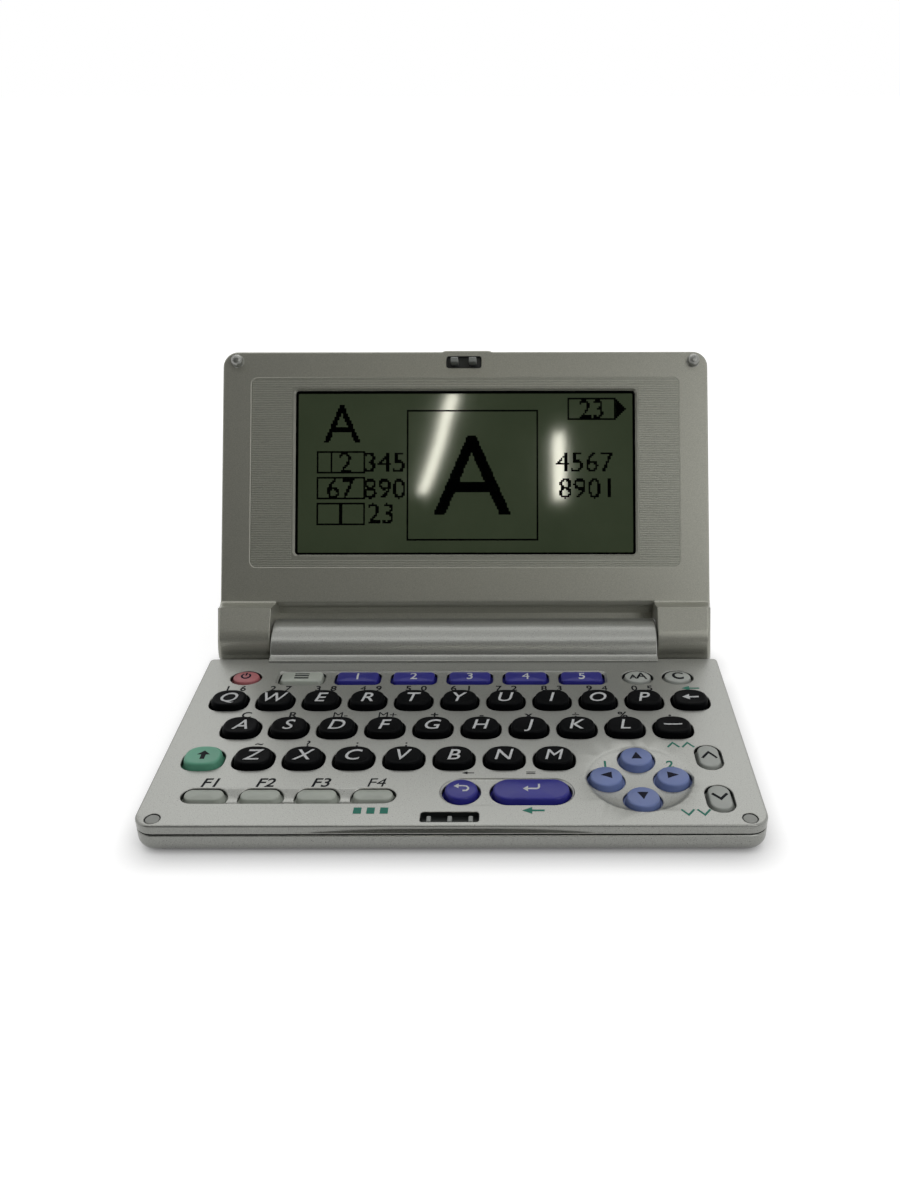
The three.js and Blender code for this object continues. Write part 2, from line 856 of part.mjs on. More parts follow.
// The cover is a cut of the tray's floor and rear wall, with a rail along each side
function makeBatteryCover() {
  const half = cover_width / 2;
  const left = cell_side - half;
  const right = cell_side + half;
  const top = floor_z + cover_rear_height;
  let body = trayShell().intersect(
    box(left, right, cover_front, case_rear + overrun, -overrun, top),
  );
  const inner_rear = case_rear - case_wall;
  const inside = box(
    left - overrun,
    right + overrun,
    0,
    inner_rear,
    floor_z,
    top + overrun,
  );
  body = body.subtract(inside);
  const rail_bottom = floor_z + cover_gap;
  const rail_top = rail_bottom + cover_rail;
  const wide = cover_rail / 2;
  for (const side of [-1, 1]) {
    const edge = cell_side + side * half;
    const riser = [edge, edge - side * wide].sort((a, b) => a - b);
    const rail = [edge - side * wide, edge + side * cover_rail].sort((a, b) => a - b);
    body = body.add(
      box(...riser, cell_setback, inner_rear + case_wall / 2, floor_z - wide, rail_top),
    );
    body = body.add(box(...rail, cell_setback, inner_rear + case_wall / 2, rail_bottom, rail_top));
  }
  piece(dictionary, "battery_cover", body, finishes.silver);
}

// Inside the case

function makeCoinCell() {
  const base = floor_z + cover_gap;
  const step = cell_height - cell_cap_step;
  const profile = [
    new THREE.Vector2(0, 0),
    new THREE.Vector2(cell_cap_radius, 0),
    new THREE.Vector2(cell_cap_radius, cell_cap_step),
    new THREE.Vector2(cell_radius, cell_cap_step),
    new THREE.Vector2(cell_radius, cell_cap_step + step),
    new THREE.Vector2(0, cell_cap_step + step),
  ];
  const geometry = new THREE.LatheGeometry(profile, disc_points)
    .rotateX(Math.PI / 2)
    .translate(cell_side, cell_setback, base);
  piece(dictionary, "coin_cell", solid(geometry), finishes.steel);
}

function boardOutline(rear) {
  const gap = case_wall + contact_gap;
  const side = case_width / 2 - gap;
  const radius = corner_radius - case_wall;
  return slab(-side, side, gap, rear, radius, deck_rear_radius, small_corner_steps);
}

function makeCircuitBoard() {
  let body = prism(boardOutline(board_rear), board_bottom_z, board_top_z);
  const half = chip_size / 2;
  const join = board_thickness / 2;
  const chip_setback = chip_place_share * deck_depth;
  for (const x of [-chip_spacing / 2, chip_spacing / 2]) {
    body = body.add(
      box(
        x - half,
        x + half,
        chip_setback - half,
        chip_setback + half,
        board_bottom_z - chip_height,
        board_bottom_z + join,
      ),
    );
  }
  const left = contact_side - contact_half_width;
  const right = contact_side + contact_half_width;
  const arm_z = floor_z + cover_gap + cell_height + seat_gap;
  const arm_top = arm_z + contact_thickness;
  const riser = contact_riser + contact_thickness;
  body = body.add(box(left, right, board_rear - join, riser, board_bottom_z, board_top_z));
  body = body.add(box(left, right, contact_riser, riser, board_bottom_z, arm_top));
  body = body.add(box(left, right, contact_riser, contact_reach, arm_z, arm_top));
  piece(dictionary, "circuit_board", body, finishes.board);
}

function makeKeyMat() {
  let body = prism(boardOutline(mat_rear), mat_top_z - mat_thickness, mat_top_z);
  for (const key of keys) {
    const radius = key.depth * dome_share;
    const ring = (r) => arc(key.x, key.y, r, 0, 2 * Math.PI, dome_points).slice(0, dome_points);
    const dome = stack([
      { z: mat_top_z - mat_thickness / 2, points: ring(radius) },
      { z: mat_top_z, points: ring(radius) },
      { z: mat_top_z + dome_height, points: ring(radius * dome_top_share) },
    ]);
    body = body.add(dome);
  }
  piece(dictionary, "key_mat", body, finishes.rubber);
}

function makeHingeShaft() {
  const reach = knuckle_inner + shaft_reach;
  const geometry = new THREE.CylinderGeometry(shaft_radius, shaft_radius, 2 * reach, bore_points)
    .rotateZ(Math.PI / 2)
    .translate(0, axis_setback, axis_z);
  piece(dictionary, "hinge_shaft", solid(geometry), finishes.steel);
}

// Lid, in its own frame: the origin is on the hinge axis, +Y runs along the lid to its
// free edge and +Z points out of the face that holds the display

function lidOutline(inset, low) {
  const side = case_width / 2 - inset;
  return slab(
    -side,
    side,
    low,
    lid_length - inset,
    deck_rear_radius / 4,
    corner_radius - inset,
  );
}

// Seen along the hinge: round about the axis, with a flat ramp and a bevel down to the face
function knuckleProfile(inset) {
  const ramp_angle = Math.acos(knuckle_ramp_start / knuckle_radius);
  const ramp_height = knuckle_radius * Math.sin(ramp_angle);
  const ramp_drop = (knuckle_ramp_end - knuckle_ramp_start) / Math.tan(ramp_angle);
  const bottom = (3 * Math.PI) / 2;
  return [
    new THREE.Vector2(knuckle_bevel_end, lid_back + inset),
    new THREE.Vector2(knuckle_bevel_end, lid_face),
    new THREE.Vector2(knuckle_ramp_end, ramp_height - ramp_drop - inset),
    ...arc(0, 0, knuckle_radius - inset, ramp_angle, bottom, knuckle_steps),
  ];
}

function knuckle(side) {
  const levels = [{ z: side * knuckle_inner, points: knuckleProfile(0) }];
  for (let i = 0; i <= edge_steps; i++) {
    const angle = ((Math.PI / 2) * i) / edge_steps;
    const reach = knuckle_outer - knuckle_end_radius * (1 - Math.sin(angle));
    const inset = knuckle_end_radius * (1 - Math.cos(angle));
    levels.push({ z: side * reach, points: knuckleProfile(inset) });
  }
  if (side < 0) levels.reverse();
  return solid(stackGeometry(levels).applyMatrix4(along_x));
}

function knuckleHollow(side) {
  const ends = [side * (knuckle_inner + knuckle_end_wall), side * (knuckle_outer - knuckle_wall)];
  const from = Math.min(...ends);
  const to = Math.max(...ends);
  const radius = knuckle_radius - knuckle_wall;
  const passage = box(
    from,
    to,
    0,
    knuckle_bevel_end + 2 * lid_wall,
    lid_back + knuckle_wall,
    lid_face - lid_plate,
  );
  return rod(0, 0, radius, from, to, knuckle_steps).add(passage);
}

function troughCut(radius, reach) {
  return rod(0, trough_offset, radius, -reach, reach, trough_steps);
}

function troughSkin() {
  const outer = troughCut(trough_radius + trough_wall, knuckle_inner);
  const low = lid_back + lid_plate + contact_gap;
  return outer.intersect(
    box(-case_width, case_width, 0, 2 * trough_radius, low, lid_face),
  );
}

function windowCut() {
  const level = (z, grow) => ({
    z,
    points: slab(
      -window_half_width - grow,
      window_half_width + grow,
      window_bottom - grow,
      window_top + grow,
      window_corner + grow,
      window_corner + grow,
      small_corner_steps,
    ),
  });
  return stack([
    level(lid_face - lid_plate - overrun, 0),
    level(lid_face - window_bevel_depth, 0),
    level(lid_face, window_bevel),
    level(lid_face + overrun, window_bevel),
  ]);
}

function cornerStud(side) {
  const crown = stud_radius / 2;
  const profile = [
    new THREE.Vector2(0, -lid_plate / 2),
    new THREE.Vector2(stud_radius, -lid_plate / 2),
    ...arc(stud_radius - crown, stud_height - crown, crown, 0, Math.PI / 2, edge_steps),
    new THREE.Vector2(0, stud_height),
  ];
  return solid(
    new THREE.LatheGeometry(profile, stud_points)
      .rotateX(Math.PI / 2)
      .translate(side * stud_side, stud_reach, lid_face),
  );
}

function freeEdgeBump() {
  const left = bump_centre - bump_half_width;
  const right = bump_centre + bump_half_width;
  const points = [
    new THREE.Vector2(left, lid_length - lid_wall / 2),
    new THREE.Vector2(right, lid_length - lid_wall / 2),
    new THREE.Vector2(right, lid_length),
    new THREE.Vector2(right - bump_slope, lid_length + bump_height),
    new THREE.Vector2(left + bump_slope, lid_length + bump_height),
    new THREE.Vector2(left, lid_length),
  ];
  return prism(points, lid_seam, lid_face - lid_face_bevel);
}

function makeLidFrame() {
  const low = knuckle_bevel_end - lid_wall;
  let body = stack([
    { z: lid_seam, points: lidOutline(0, low) },
    { z: lid_face - lid_face_bevel, points: lidOutline(0, low) },
    { z: lid_face, points: lidOutline(lid_face_bevel, low) },
  ]);
  const hollow_low = trough_radius + trough_wall;
  body = body.subtract(
    prism(lidOutline(lid_wall, hollow_low), lid_seam - overrun, lid_face - lid_plate),
  );
  const panel = slab(
    -panel_half_width,
    panel_half_width,
    panel_bottom,
    panel_top,
    panel_corner,
    panel_corner,
    small_corner_steps,
  );
  body = body.subtract(prism(panel, lid_face - panel_recess, lid_face + overrun));
  body = body.subtract(windowCut());
  body = body.add(troughSkin());
  body = body.subtract(troughCut(trough_radius, knuckle_inner));
  for (const [x0, x1] of [
    [knuckle_outer, case_width],
    [-case_width, -knuckle_outer],
  ]) {
    body = body.subtract(box(x0, x1, 0, knuckle_bevel_end, -case_width, case_width));
  }
  for (const side of [-1, 1]) body = body.add(knuckle(side)).subtract(knuckleHollow(side));
  const bore_end = knuckle_inner + knuckle_end_wall + overrun;
  const bore = shaft_radius + contact_gap;
  body = body.subtract(rod(0, 0, bore, -bore_end, bore_end, bore_points));
  const slot_floor = lid_face - slot_drop;
  const slot = slab(
    latch_centre - slot_half_width,
    latch_centre + slot_half_width,
    latch_reach - slot_half_height,
    latch_reach + slot_half_height,
    pocket_corner,
    pocket_corner,
    small_corner_steps,
  );
  body = body.subtract(prism(slot, slot_floor, lid_face + overrun));
  for (const side of [-1, 1]) {
    body = body.add(cornerStud(side));
    const x = latch_centre + side * hook_spread;
    body = body.add(
      box(
        x - hook_half_width,
        x + hook_half_width,
        latch_reach - hook_half_height,
        latch_reach + hook_half_height,
        slot_floor - (lid_plate - slot_drop) / 2,
        lid_face + closed_gap + hook_reach,
      ),
    );
  }
  body = body.add(freeEdgeBump());
  piece(lid, "lid_frame", body, finishes.silver);
}

function makeLidCover() {
  const seam = lid_seam - parting_gap;
  const outline = (inset) => lidOutline(inset, 0);
  let body = stack([
    ...edgeLevels(outline, lid_back, lid_back_radius, 1),
    { z: seam, points: outline(0) },
  ]);
  const inner = lid_back + lid_plate;
  const hollow_low = knuckle_bevel_end + contact_gap + lid_wall;
  const top = seam + overrun;
  body = body.subtract(prism(lidOutline(lid_wall, hollow_low), inner, top));
  const open = knuckle_inner + contact_gap;
  body = body.subtract(box(-open, open, -overrun, lid_length - lid_wall, inner, top));
  const clear = knuckle_inner - contact_gap;
  const zone_top = knuckle_bevel_end + contact_gap;
  for (const [x0, x1] of [
    [clear, case_width],
    [-case_width, -clear],
  ]) {
    body = body.subtract(box(x0, x1, -overrun, zone_top, lid_back - overrun, top));
  }
  body = body.subtract(troughCut(trough_radius, case_width));
  const rib_top = lid_face - lid_plate - seat_gap - display_thickness - seat_gap;
  const reach = window_half_width - display_rib_inset;
  for (const y of [window_bottom + display_rib_inset, window_top - display_rib_inset]) {
    const rib = box(-reach, reach, y, y + display_rib_width, inner - lid_plate / 2, rib_top);
    body = body.add(rib);
  }
  piece(lid, "lid_back_cover", body, finishes.silver);
}

function makeDisplay() {
  const side = window_half_width + display_margin;
  const top = lid_face - lid_plate - seat_gap;
  const body = box(
    -side,
    side,
    window_bottom - display_margin,
    window_top + display_margin,
    top - display_thickness,
    top,
  );
  piece(lid, "lcd_panel", body, finishes.glass);
}

// The lid turned to its working angle about the hinge axis
lid.position.set(0, axis_setback, axis_z);
lid.rotation.x = Math.PI - open_angle;

// Half way between the front edge and the rear-most line of the lid's rounded back edge
function middle() {
  const turn = Math.PI - open_angle;
  const along = (lid_length - lid_back_radius) * Math.cos(turn);
  const behind = (-lid_back - lid_back_radius) * Math.sin(turn);
  return (axis_setback + along + behind + lid_back_radius) / 2;
}
dictionary.position.y = -middle();

listKeys();
makeLowerCase();
makeUpperCase();
makeBatteryCover();
makeCoinCell();
makeCircuitBoard();
makeKeyMat();
for (const key of keys) makeKey(key);
makeHingeShaft();
makeLidFrame();
makeLidCover();
makeDisplay();

export default dictionary;
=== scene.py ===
import math

import bmesh
import bpy
from mathutils import Matrix, Vector
from mathutils.geometry import delaunay_2d_cdt, tessellate_polygon


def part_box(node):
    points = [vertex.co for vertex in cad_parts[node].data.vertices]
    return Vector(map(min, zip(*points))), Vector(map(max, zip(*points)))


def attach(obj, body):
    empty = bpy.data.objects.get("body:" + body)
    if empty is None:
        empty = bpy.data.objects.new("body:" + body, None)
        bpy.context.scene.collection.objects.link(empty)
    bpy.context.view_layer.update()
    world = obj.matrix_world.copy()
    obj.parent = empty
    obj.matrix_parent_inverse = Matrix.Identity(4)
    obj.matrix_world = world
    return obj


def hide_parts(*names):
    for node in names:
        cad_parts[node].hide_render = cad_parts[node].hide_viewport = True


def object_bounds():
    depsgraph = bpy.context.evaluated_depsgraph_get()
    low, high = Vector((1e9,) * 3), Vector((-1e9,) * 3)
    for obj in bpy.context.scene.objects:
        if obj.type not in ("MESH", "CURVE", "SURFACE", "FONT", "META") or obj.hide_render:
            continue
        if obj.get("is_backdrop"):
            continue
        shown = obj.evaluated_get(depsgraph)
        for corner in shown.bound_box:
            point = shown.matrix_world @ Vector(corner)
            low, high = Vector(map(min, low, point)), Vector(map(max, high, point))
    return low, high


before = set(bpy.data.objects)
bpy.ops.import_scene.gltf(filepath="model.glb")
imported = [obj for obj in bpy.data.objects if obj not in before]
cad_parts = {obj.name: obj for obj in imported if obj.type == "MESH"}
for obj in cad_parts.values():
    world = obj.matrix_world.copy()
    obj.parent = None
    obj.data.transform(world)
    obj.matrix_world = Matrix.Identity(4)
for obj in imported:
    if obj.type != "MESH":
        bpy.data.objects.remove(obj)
cad_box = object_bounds()

# Sizes are in millimetres, except those of the camera, the lamps and the floor's glow
MM = 0.001
QUARTER = math.pi / 2
BEYOND = 1.0 # how far a tool reaches past what it cuts
ROOT = 0.1 # how far a small piece goes into what carries it


def corners(node):
    low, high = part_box(node)
    return low / MM, high / MM


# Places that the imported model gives
tray_low, tray_high = corners("lower_case")
shaft_low, shaft_high = corners("hinge_shaft")
cover_low, cover_high = corners("battery_cover")
LEFT, RIGHT = tray_low.x, tray_high.x
FRONT, REAR = tray_low.y, tray_high.y
LOWER_RIM = tray_high.z
HINGE = (shaft_low + shaft_high) / 2

# Keyboard case; setbacks are measured from its front edge
PARTING_GAP = 0.3
SKIRT_HEIGHT = 2.0
PARTING = LOWER_RIM + PARTING_GAP
DECK = PARTING + SKIRT_HEIGHT
DECK_THICKNESS = 1.2
DECK_DEPTH = 60.3
CASE_WALL = 1.3
FLOOR_THICKNESS = 1.2
CORNER_RADIUS = 3.7
DECK_REAR_RADIUS = 1.0
TOP_EDGE_RADIUS = 0.45
BOTTOM_EDGE_RADIUS = 2.4
RIM_EDGE = 0.15
FOOT_HEIGHT = 0.4
FOOT_RADIUS = 3.0
FOOT_EDGE = 0.25
FOOT_SIDE_INSET = 9.0
FOOT_FRONT_INSET = 8.0
FOOT_REAR_INSET = 11.0
FLOOR = FOOT_HEIGHT + FLOOR_THICKNESS
DECK_REAR = FRONT + DECK_DEPTH
FINGER_HALF_WIDTH = 29.0
FINGER_DEPTH = 0.8
FINGER_TOP = 0.6
FINGER_HEIGHT = 1.1
FINGER_POINTS = 32
FINGER_EDGE = 0.06
SCREW_SIDE_INSET = 5.75
SCREW_END_INSET = 5.3
SCREW_RADIUS = 1.35
SCREW_WELL_RADIUS = 1.5
SCREW_LIFT = 0.12
SCREW_PROFILE = ((0.3, 0), (0.1, 0.05), (0, 0.15), (0, 0.6)) # inset and rise of each ring
CROSS_HALF_LENGTH = 0.75
CROSS_HALF_WIDTH = 0.17
COVER_RAIL = 0.8
COVER_GAP = 0.25
GRIP_COUNT = 5
GRIP_PITCH = 1.2
GRIP_END_INSET = 6.0
GRIP_HALF_LENGTH = 5.0
GRIP_HALF_WIDTH = 0.25
GRIP_DEPTH = 0.25

# Barrel on the upper case and the knuckles of the lid beside it
KNUCKLE_RADIUS = 6.0
KNUCKLE_LENGTH = 13.3
KNUCKLE_SIDE_INSET = 0.05
KNUCKLE_END_RADIUS = 1.0
KNUCKLE_LEAN = 0.15
KNUCKLE_OUTER = RIGHT - KNUCKLE_SIDE_INSET
KNUCKLE_INNER = KNUCKLE_OUTER - KNUCKLE_LENGTH
HINGE_SIDE_GAP = 0.35
BARREL_HALF = KNUCKLE_INNER - HINGE_SIDE_GAP
ARCH_RADIUS = 7.9
ARCH_FORWARD = 1.0
ARCH_DROP = 2.6
LIP_OVERLAP = 1.7
LIP_FRONT_RISE = 0.35
LIP_BACK_RISE = 0.7
SCOOP_CHAMFER = 1.8
SCOOP_GAP = 0.3
BARREL_END_RADIUS = 0.3
LIP_NOSE = 0.12
LIP_SINK = 0.2
LIP_ROOT = 0.5
KNUCKLE_INNER_RADIUS = 0.2

# Lid, in its own frame: along from the hinge axis, and out of the display's face
OPEN_ANGLE = math.radians(120)
LID_LENGTH = HINGE.y - FRONT
LID_FACE = -0.75
LID_SEAM = -3.25
LID_COVER_SEAM = -3.55
LID_BACK = -KNUCKLE_RADIUS
LID_PLATE = 1.2
LID_WALL = 1.3
LID_FACE_RADIUS = 0.45
LID_BACK_RADIUS = 2.0
LID_LOW = 8.4
TROUGH_RADIUS = 8.2
TROUGH_OFFSET = 0.54
RAMP_START = 1.33
RAMP_END = 6.68
PANEL_SIDE_INSET = 6.75
PANEL_BOTTOM = 16.45
PANEL_TOP_INSET = 6.2
PANEL_RECESS = 0.15
PANEL_CORNER = 1.7
PANEL_EDGE = 0.2
WINDOW_SIDE_INSET = 17.6
WINDOW_BOTTOM = 19.65
WINDOW_TOP_INSET = 9.45
WINDOW_BEVEL = 0.45
WINDOW_CORNER = 0.8
RIDGE_PITCH = 0.56
RIDGE_WIDTH = 0.38
RIDGE_RISE = 0.09
RIDGE_MARGIN = 0.35
RIDGE_SINK = 0.02
STUD_SIDE_INSET = 3.55
STUD_SETBACK = 2.35
STUD_RADIUS = 1.45
STUD_HEIGHT = 1.85
STUD_CROWN = 0.75 # share of the radius that is rounded
STUD_FOOT = ((-0.12, -0.1), (-0.1, 0.02), (0, 0.12)) # inset and rise of each ring
PAD_SETBACK = 2.15
PAD_RADIUS = 1.3
PAD_GAP = 0.18
PAD_WELL = ((0.1, 0), (0.02, 0.08), (0, 0.3)) # growth and drop of each ring
PAD_PROFILE = ((0, 0.35), (0, 0.17), (0.06, 0.1), (0.15, 0.08)) # inset and drop of each ring
BUMP_CENTRE = 0.4
BUMP_HALF_WIDTH = 6.2
BUMP_HEIGHT = 0.3
BUMP_SLOPE = 1.0
COVER_LIP = ((0, 4.45), (0.06, 4.2), (0.18, 4.05), (0.35, 4.0), (0.5, 4.1), (0.58, 4.4)) # rise, trough
COVER_RISES = (0.66, 0.85, 1.1, 1.4, 1.7, 2.0)

# Latch
LATCH_CENTRE = -0.35
POCKET_HALF_WIDTH = 5.45
POCKET_FRONT = 1.15
POCKET_DEPTH = 2.95
POCKET_DROP = 1.3
POCKET_WALL = 0.8
POCKET_CORNER = 0.6
POST_HALF_WIDTH = 0.42
POST_SPREAD = 3.9
POST_DROP = 0.35
POST_FRONT_GAP = 0.6
POST_REAR_GAP = 0.7
POST_BEVEL = 0.12
POCKET_BEVEL = 0.1
POCKET_FLOOR = 0.6
SLOT_HALF_WIDTH = 4.25
SLOT_HALF_HEIGHT = 1.45
SLOT_DROP = 0.9
HOOK_SPREAD = 2.2
HOOK_HALF_WIDTH = 0.9
HOOK_HALF_HEIGHT = 0.6
HOOK_TIP = 2.7
HOOK_BEVEL = 0.2
SLOT_BEVEL = 0.08

# Keys
KEY_FLANGE = 0.5
KEY_CLEARANCE = 0.3
KEY_SEAT = 0.2
HOLE_BEVEL = 0.12
CHANNEL_MARGIN = 0.5
CHANNEL_DROP = 0.25
CHANNEL_SLOPE = 0.25
CHANNEL_STEPS = ((1, 0), (0.35, 0.8), (0, 1)) # shares of the slope and of the drop
PILL_CHANNEL_DROP = 0.85
CHANNEL_CORNER = 1.2
DISH_DROP = 0.95
DISH_EDGE = 0.55
DISH_MARGIN = 0.7
DISH_POWER = 2.2
DISH_RINGS = 16
PILL_RIM = 0.03
PILL_FADE_START = 0.3 # shares of a key's width
PILL_FADE = 0.5
PILL_SLANT = 1.5
PILL_SINK = 0.02
BOWL_SPACING = 0.15
FULL_ROUND = 0.49 # share of the lesser side that makes an end round
BLOCK_CORNER = 1.3
OVAL_POINTS = 48
LETTER_FRONT_POWER = 2.9
LETTER_REAR_POWER = 2.35
LETTERS = "qwertyuiopasdfghjklzxcvbnm"
DOT = 0.42
DOT_GAP = 0.015
DOT_HALF = 0.205
LETTER_SHIFT = 0.2 # legends stand behind the middle of a letter key
INK_LIFT = 0.025
INK_SINK = 0.03
LEGEND_STEP = 0.45
TEXT_STEP = 0.8
THIN_ONLY = "M4" # outlines that cross themselves when bolder
LETTER_HEIGHT = 3.3
NUMBER_HEIGHT = 2.4
SLANT = 0.2
SMALL_WEIGHT = 0.02
CURSOR_SIZE = 2.2


# Outlines: anticlockwise lists of points

def arc(x, y, radius, start, end, steps):
    points = []
    for i in range(steps + 1):
        angle = start + (end - start) * i / steps
        points.append((x + radius * math.cos(angle), y + radius * math.sin(angle)))
    return points


def circle(x, y, radius, count=40):
    return arc(x, y, radius, 0, math.tau, count)[:-1]


def slab(left, right, low, high, radius, steps=8):
    """A rectangle with round corners."""
    x0, x1, y0, y1 = left + radius, right - radius, low + radius, high - radius
    turns = ((x0, y0, 2), (x1, y0, 3), (x1, y1, 0), (x0, y1, 1))
    return [point for x, y, turn in turns
            for point in arc(x, y, radius, turn * QUARTER, (turn + 1) * QUARTER, steps)]


def grown(box, grow, radius, steps=8):
    """A slab from a box of left, right, low and high, grown on every side."""
    left, right, low, high = box
    return slab(left - grow, right + grow, low - grow, high + grow, radius, steps)


def superellipse(width, depth, front_power, rear_power):
    points = []
    for i in range(OVAL_POINTS):
        angle = math.tau * (i + 0.5) / OVAL_POINTS
        c, s = math.cos(angle), math.sin(angle)
        power = 2 / (rear_power if s > 0 else front_power)
        x = width / 2 * math.copysign(abs(c) ** power, c)
        y = depth / 2 * math.copysign(abs(s) ** power, s)
        points.append((x, y))
    return points


def moved(points, x, y):
    return [(px + x, py + y) for px, py in points]


def pulled(points, centre, distance):
    """Points drawn towards a centre by a distance."""
    result = []
    for x, y in points:
        away = Vector((x - centre[0], y - centre[1]))
        reach = max(away.length - distance, 0) / max(away.length, 1e-9)
        result.append((centre[0] + away.x * reach, centre[1] + away.y * reach))
    return result


def quarter_turn(radius, steps):
    """How far a rounded edge draws in and how far below the face that is, face first."""
    turns = [QUARTER * i / steps for i in range(steps + 1)]
    return [(radius * (1 - math.sin(t)), radius * (1 - math.cos(t))) for t in turns]


def bow(start, bend, end, steps):
    """Points from a start to an end, on a curve that leans towards a bend."""
    start, bend, end = Vector(start), Vector(bend), Vector(end)
    shares = [i / steps for i in range(steps + 1)]
    return [tuple(start * (1 - t) ** 2 + bend * 2 * t * (1 - t) + end * t ** 2) for t in shares]


# Meshes

class Shape:
    """A mesh that is built from rings of points, in millimetres and in a frame of its own."""

    def __init__(self, place=None):
        self.mesh = bmesh.new()
        self.place = place or Matrix.Identity(4)
        self.flat = {}

    def point(self, x, y, z):
        vertex = self.mesh.verts.new(self.place @ Vector((x, y, z)) * MM)
        self.flat[vertex] = (x, y)
        return vertex

    def ring(self, outline, height):
        if callable(height):
            return [self.point(x, y, height(x, y)) for x, y in outline]
        return [self.point(x, y, height) for x, y in outline]

    def ring_across(self, profile, x):
        """A ring in the plane across X, from points that give Y and Z."""
        return [self.point(x, y, z) for y, z in profile]

    def face(self, *vertices, finish=0):
        """A face; its finish counts in the list that the piece is given."""
        made = self.mesh.faces.new(vertices)
        made.smooth = True
        made.material_index = finish

    def join(self, *rings, finish=0):
        for lower, upper in zip(rings, rings[1:]):
            for i in range(len(lower)):
                j = (i + 1) % len(lower)
                self.face(lower[i], lower[j], upper[j], upper[i], finish=finish)

    def close(self, ring, height):
        """A fan from a ring to a point at its middle."""
        x = sum(self.flat[v][0] for v in ring) / len(ring)
        y = sum(self.flat[v][1] for v in ring) / len(ring)
        tip = self.point(x, y, height)
        for i in range(len(ring)):
            self.face(ring[i], ring[(i + 1) % len(ring)], tip)

    def fill(self, outer, holes=(), inside=(), height=None, finish=0):
        """Triangles within a ring, round the rings of its holes, through the points inside."""
        loops = [outer, *holes]
        vertices = [v for loop in loops for v in loop]
        owner = [number for number, loop in enumerate(loops) for _ in loop]
        edges = []
        for loop in loops:
            start = len(edges)
            edges += [(start + i, start + (i + 1) % len(loop)) for i in range(len(loop))]
        for x, y in inside:
            vertices.append(self.point(x, y, height(x, y)))
            owner.append(None)
        places = [Vector(self.flat[v]) for v in vertices]
        result = delaunay_2d_cdt(places, edges, [], 1, 1e-6)
        faces, origins = result[2], result[3]
        for face in faces:
            ends = [origins[i][0] for i in face]
            owners = {owner[i] for i in ends}
            in_hole = len(owners) == 1 and owners.pop() not in (0, None)
            if not in_hole:
                self.face(*(vertices[i] for i in ends), finish=finish)

    def stack(self, *rings):
        """Rings joined one to the next, with both ends filled."""
        self.join(*rings)
        self.fill(rings[0])
        self.fill(rings[-1])

    def run(self, profile, *rings):
        """Rings that follow a profile of Y and Z points, joined and closed at both ends."""
        self.join(*rings)
        triangles = tessellate_polygon([[Vector((y, z, 0)) for y, z in profile]])
        for ring in (rings[0], rings[-1]):
            for corner_numbers in triangles:
                self.face(*(ring[i] for i in corner_numbers))

    def well(self, rings, finish):
        """A recess with a plain bevel, walls and floor in another finish, the dark one that paints shade in
        the recess; gives its rim.
        """
        self.join(*rings[:2])
        self.join(*rings[1:], finish=finish)
        self.fill(rings[-1], finish=finish)
        return rings[0]

    def data(self, name, *finishes):
        """The finished mesh; the shape can't be used after it."""
        bmesh.ops.recalc_face_normals(self.mesh, faces=self.mesh.faces[:])
        made = bpy.data.meshes.new(name)
        self.mesh.to_mesh(made)
        self.mesh.free()
        for finish in finishes:
            made.materials.append(finish)
        return made

    def piece(self, name, body, *finishes, replaces=(), slot=None, sharp=32):
        dressed(name, self.data(name, *finishes), body, replaces, sharp)


def linked(name, data):
    made = bpy.data.objects.new(name, data)
    bpy.context.scene.collection.objects.link(made)
    return made


def dressed(name, data, body, replaces=(), sharp=32):
    """A mesh as a piece that rides on a body."""
    data.set_sharp_from_angle(angle=math.radians(sharp))
    made = linked(name, data)
    weighted = made.modifiers.new("even shading", "WEIGHTED_NORMAL")
    weighted.keep_sharp = True
    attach(made, body)
    if replaces:
        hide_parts(*replaces)


def cut(solid, *tools, mode="DIFFERENCE"):
    """Takes each tool out of the solid, or keeps what both hold, and removes the tools."""
    for tool in tools:
        change = solid.modifiers.new("cut", "BOOLEAN")
        change.operation = mode
        change.object = tool
        change.solver = "EXACT"
    bpy.context.view_layer.update()
    shaped = evaluated_mesh(solid)
    solid.modifiers.clear()
    solid.data = shaped
    for tool in tools:
        bpy.data.objects.remove(tool)


def evaluated_mesh(source):
    return bpy.data.meshes.new_from_object(source.evaluated_get(bpy.context.evaluated_depsgraph_get()))


def dress_solid(solid, name, body, replaces=()):
    """A cut solid as a piece."""
    data = solid.data
    bpy.data.objects.remove(solid)
    dressed(name, data, body, replaces)


def loose(shape, *finishes):
    """A Shape as a bare object, to be cut or to cut with."""
    return linked("tool", shape.data("tool", *finishes))


def block(x0, x1, y0, y1, z0, z1, bevel=0.0, place=None):
    """A box with bevelled upright edges and a bevelled top."""
    shape = Shape(place)
    levels = [(0, z0), (0, z1 - bevel), (bevel, z1)] if bevel else [(0, z0), (0, z1)]
    corner = max(bevel, 0.02)
    shape.stack(*(shape.ring(grown((x0, x1, y0, y1), -inset, corner, 2), z) for inset, z in levels))
    return shape


def prism(outline, z0, z1):
    shape = Shape()
    shape.stack(shape.ring(outline, z0), shape.ring(outline, z1))
    return shape


def bar(profile, x0, x1):
    """A profile of Y and Z points, run along X."""
    shape = Shape()
    shape.run(profile, shape.ring_across(profile, x0), shape.ring_across(profile, x1))
    return shape


# Materials

def colour(red, green, blue):
    """A colour as a picture shows it, 0 to 255, in the linear values that shaders take."""
    def linear(value):
        share = value / 255
        return share / 12.92 if share <= 0.04045 else ((share + 0.055) / 1.055) ** 2.4
    return (linear(red), linear(green), linear(blue), 1.0)


